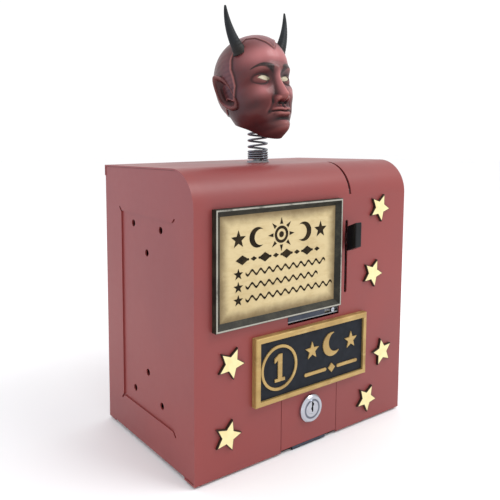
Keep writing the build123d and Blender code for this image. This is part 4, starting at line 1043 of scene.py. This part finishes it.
def strip_form(one, other, closed):
    """A thin raised mark between two edges, given as rows of x, y points in millimetres."""
    count = len(one)
    edges = ((one, 0.0), (one, MARK_DEPTH), (other, MARK_DEPTH), (other, 0.0), (one, 0.0))
    points = [np.column_stack([np.asarray(edge) * MM, np.full(count, lift)]) for edge, lift in edges]
    faces = [tuple(q) for q in sheet_faces(5, count, closed)]
    if not closed:
        faces += [tuple(k * count for k in range(4)), tuple((k + 1) * count - 1 for k in range(4))]
    return sewn(mesh_of("mark", np.concatenate(points), faces, smooth=False), 0.002 * MM)


def circle(radius, count=40, start=0.0, end=tau, middle=(0.0, 0.0)):
    """Points round a circle, or along an arc of one from start to end."""
    turns = np.linspace(start, end, count, endpoint=end - start < tau - 0.001)
    return np.column_stack([middle[0] + radius * np.cos(turns), middle[1] + radius * np.sin(turns)])


def solid_form(outline):
    """A filled mark with its middle at the origin."""
    return strip_form(outline, outline * 0.02, True)


def build_ornament():
    """Inked signs on the card: a sun, moons and stars over a chain of lozenges and three waved lines."""
    low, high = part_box("sign_card")
    middle = ((low[0] + high[0]) / 2, (low[2] + high[2]) / 2)
    wide = (high[0] - low[0]) - 30 * MM
    tall = (high[2] - low[2]) - 28 * MM
    front = low[1] - 0.02 * MM

    def place(u, v, turn=0.0, size=1.0):
        """A place on the card, u to the right and v up, from -0.5 to 0.5."""
        return (middle[0] + u * wide, front, middle[1] + v * tall), turn, size

    star = solid_form(star_outline(8.6, 3.6, 2))
    ring = strip_form(circle(6.6), circle(4.4), True)
    disc = solid_form(circle(2.3, 24))
    ray = solid_form(np.array([(-1.6, -1.5), (3.4, 0.0), (-1.6, 1.5)]))
    outer_arc = circle(9.0, 40, radians(50), radians(310))
    inner_arc = circle(7.2, 40, radians(74), radians(286), (3.7, 0.0))
    moon = strip_form(outer_arc, inner_arc, False)
    lozenge = solid_form(np.array([(6.0, 0.0), (0.0, 3.6), (-6.0, 0.0), (0.0, -3.6)]))
    x = np.linspace(-4.0, 4.0, 33)
    swell = 1.7 * np.sin(x * tau / 8.0)
    wave = strip_form(np.column_stack([x, swell + 0.9]), np.column_stack([x, swell - 0.9]), False)

    head_row = 0.385
    chain_row = 0.10
    line_rows = ((-0.09, 10), (-0.27, 9), (-0.45, 11))
    ray_places = []
    for k in range(8):
        (px, py, pz), turn, size = place(0.0, head_row, radians(45 * k))
        ray_places.append(((px + 9.6 * MM * cos(turn), py, pz + 9.6 * MM * sin(turn)), turn, size))
    bullet_x = -0.46
    wave_step = 8.0 * MM / wide
    wave_places = [
        place(bullet_x + 0.075 + wave_step * (k + 0.5), v) for v, count in line_rows for k in range(count)
    ]
    star_places = [place(u, head_row, pi / 2, 0.8) for u in (-0.46, 0.46)]
    star_places += [place(bullet_x, v, pi / 2, 0.52) for v, _ in line_rows]
    chain = [place(-0.42 + 0.12 * k, chain_row, 0.0, 1.0 if k % 2 == 0 else 0.5) for k in range(8)]
    dots = [place(-0.36 + 0.12 * k, chain_row, 0.0, 0.42) for k in range(7)]
    joined = bmesh.new()
    for name, form, places in (
        ("marked_stars", star, star_places),
        ("sun_ring", ring, [place(0.0, head_row)]),
        ("sun_disc", disc, [place(0.0, head_row)] + dots),
        ("sun_rays", ray, ray_places),
        ("moons", moon, [place(-0.26, head_row, 0.0, 0.85), place(0.26, head_row, pi, 0.85)]),
        ("lozenges", lozenge, chain),
        ("waves", wave, wave_places),
    ):
        joined.from_mesh(spread(name, form, places, ink))
    mesh = bpy.data.meshes.new("sign_ornament")
    joined.to_mesh(mesh)
    joined.free()
    return shown("sign_ornament", mesh, ink)


ornament = build_ornament()
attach(ornament, "case")


# ---------------------------------------------------------------- floor, light and camera
def stage_floor():
    """A pale floor under the bank."""
    reach = 4.0
    corners = [(-reach, -reach, 0), (reach, -reach, 0), (reach, reach, 0), (-reach, reach, 0)]
    white = matt("floor_white", colour(250, 250, 251), colour(248, 248, 250), 0.9, 2.0, 0.0)
    shown("floor", mesh_of("floor", corners, [(0, 1, 2, 3)], smooth=False), white)


def softbox(name, place, aim, width, height, watts, tint=(1.0, 1.0, 1.0)):
    """A rectangular lamp that faces a point."""
    lamp = bpy.data.lights.new(name, "AREA")
    lamp.shape = "RECTANGLE"
    lamp.size = width
    lamp.size_y = height
    lamp.energy = watts
    lamp.color = tint
    held = bpy.data.objects.new(name, lamp)
    bpy.context.scene.collection.objects.link(held)
    held.location = place
    held.rotation_euler = (Vector(aim) - Vector(place)).to_track_quat("-Z", "Y").to_euler()


def studio():
    """A white room with a lamp above the front's right and a dim blue one behind the left."""
    world = bpy.data.worlds.new("studio")
    bpy.context.scene.world = world
    world.use_nodes = True
    backdrop = world.node_tree.nodes["Background"]
    backdrop.inputs["Color"].default_value = (1.0, 1.0, 1.0, 1.0)
    backdrop.inputs["Strength"].default_value = 1.05
    middle = (0.0, 0.0, 0.18)
    softbox("key", (0.55, -0.8, 1.35), middle, 0.8, 0.6, 10.0)
    softbox("side", (-1.5, 1.3, 0.45), middle, 1.3, 1.2, 3.5, (0.45, 0.5, 1.0))
    bpy.context.scene.view_settings.view_transform = "Standard"


def camera():
    """The view of the front and the left side."""
    lens = bpy.data.cameras.new("camera")
    lens.sensor_width = 36.0
    lens.lens = 45.475
    lens.shift_y = -0.12
    lens.clip_start = 0.01
    held = bpy.data.objects.new("camera", lens)
    bpy.context.scene.collection.objects.link(held)
    turned = Matrix.Rotation(radians(-37.305), 4, "Z")
    tipped = Matrix.Rotation(radians(90.0 - 6.002), 4, "X")
    rolled = Matrix.Rotation(radians(0.341), 4, "Z")
    held.matrix_world = Matrix.Translation((-0.3394, -0.4343, 0.2618)) @ turned @ tipped @ rolled
    bpy.context.scene.camera = held


stage_floor()
studio()
camera()
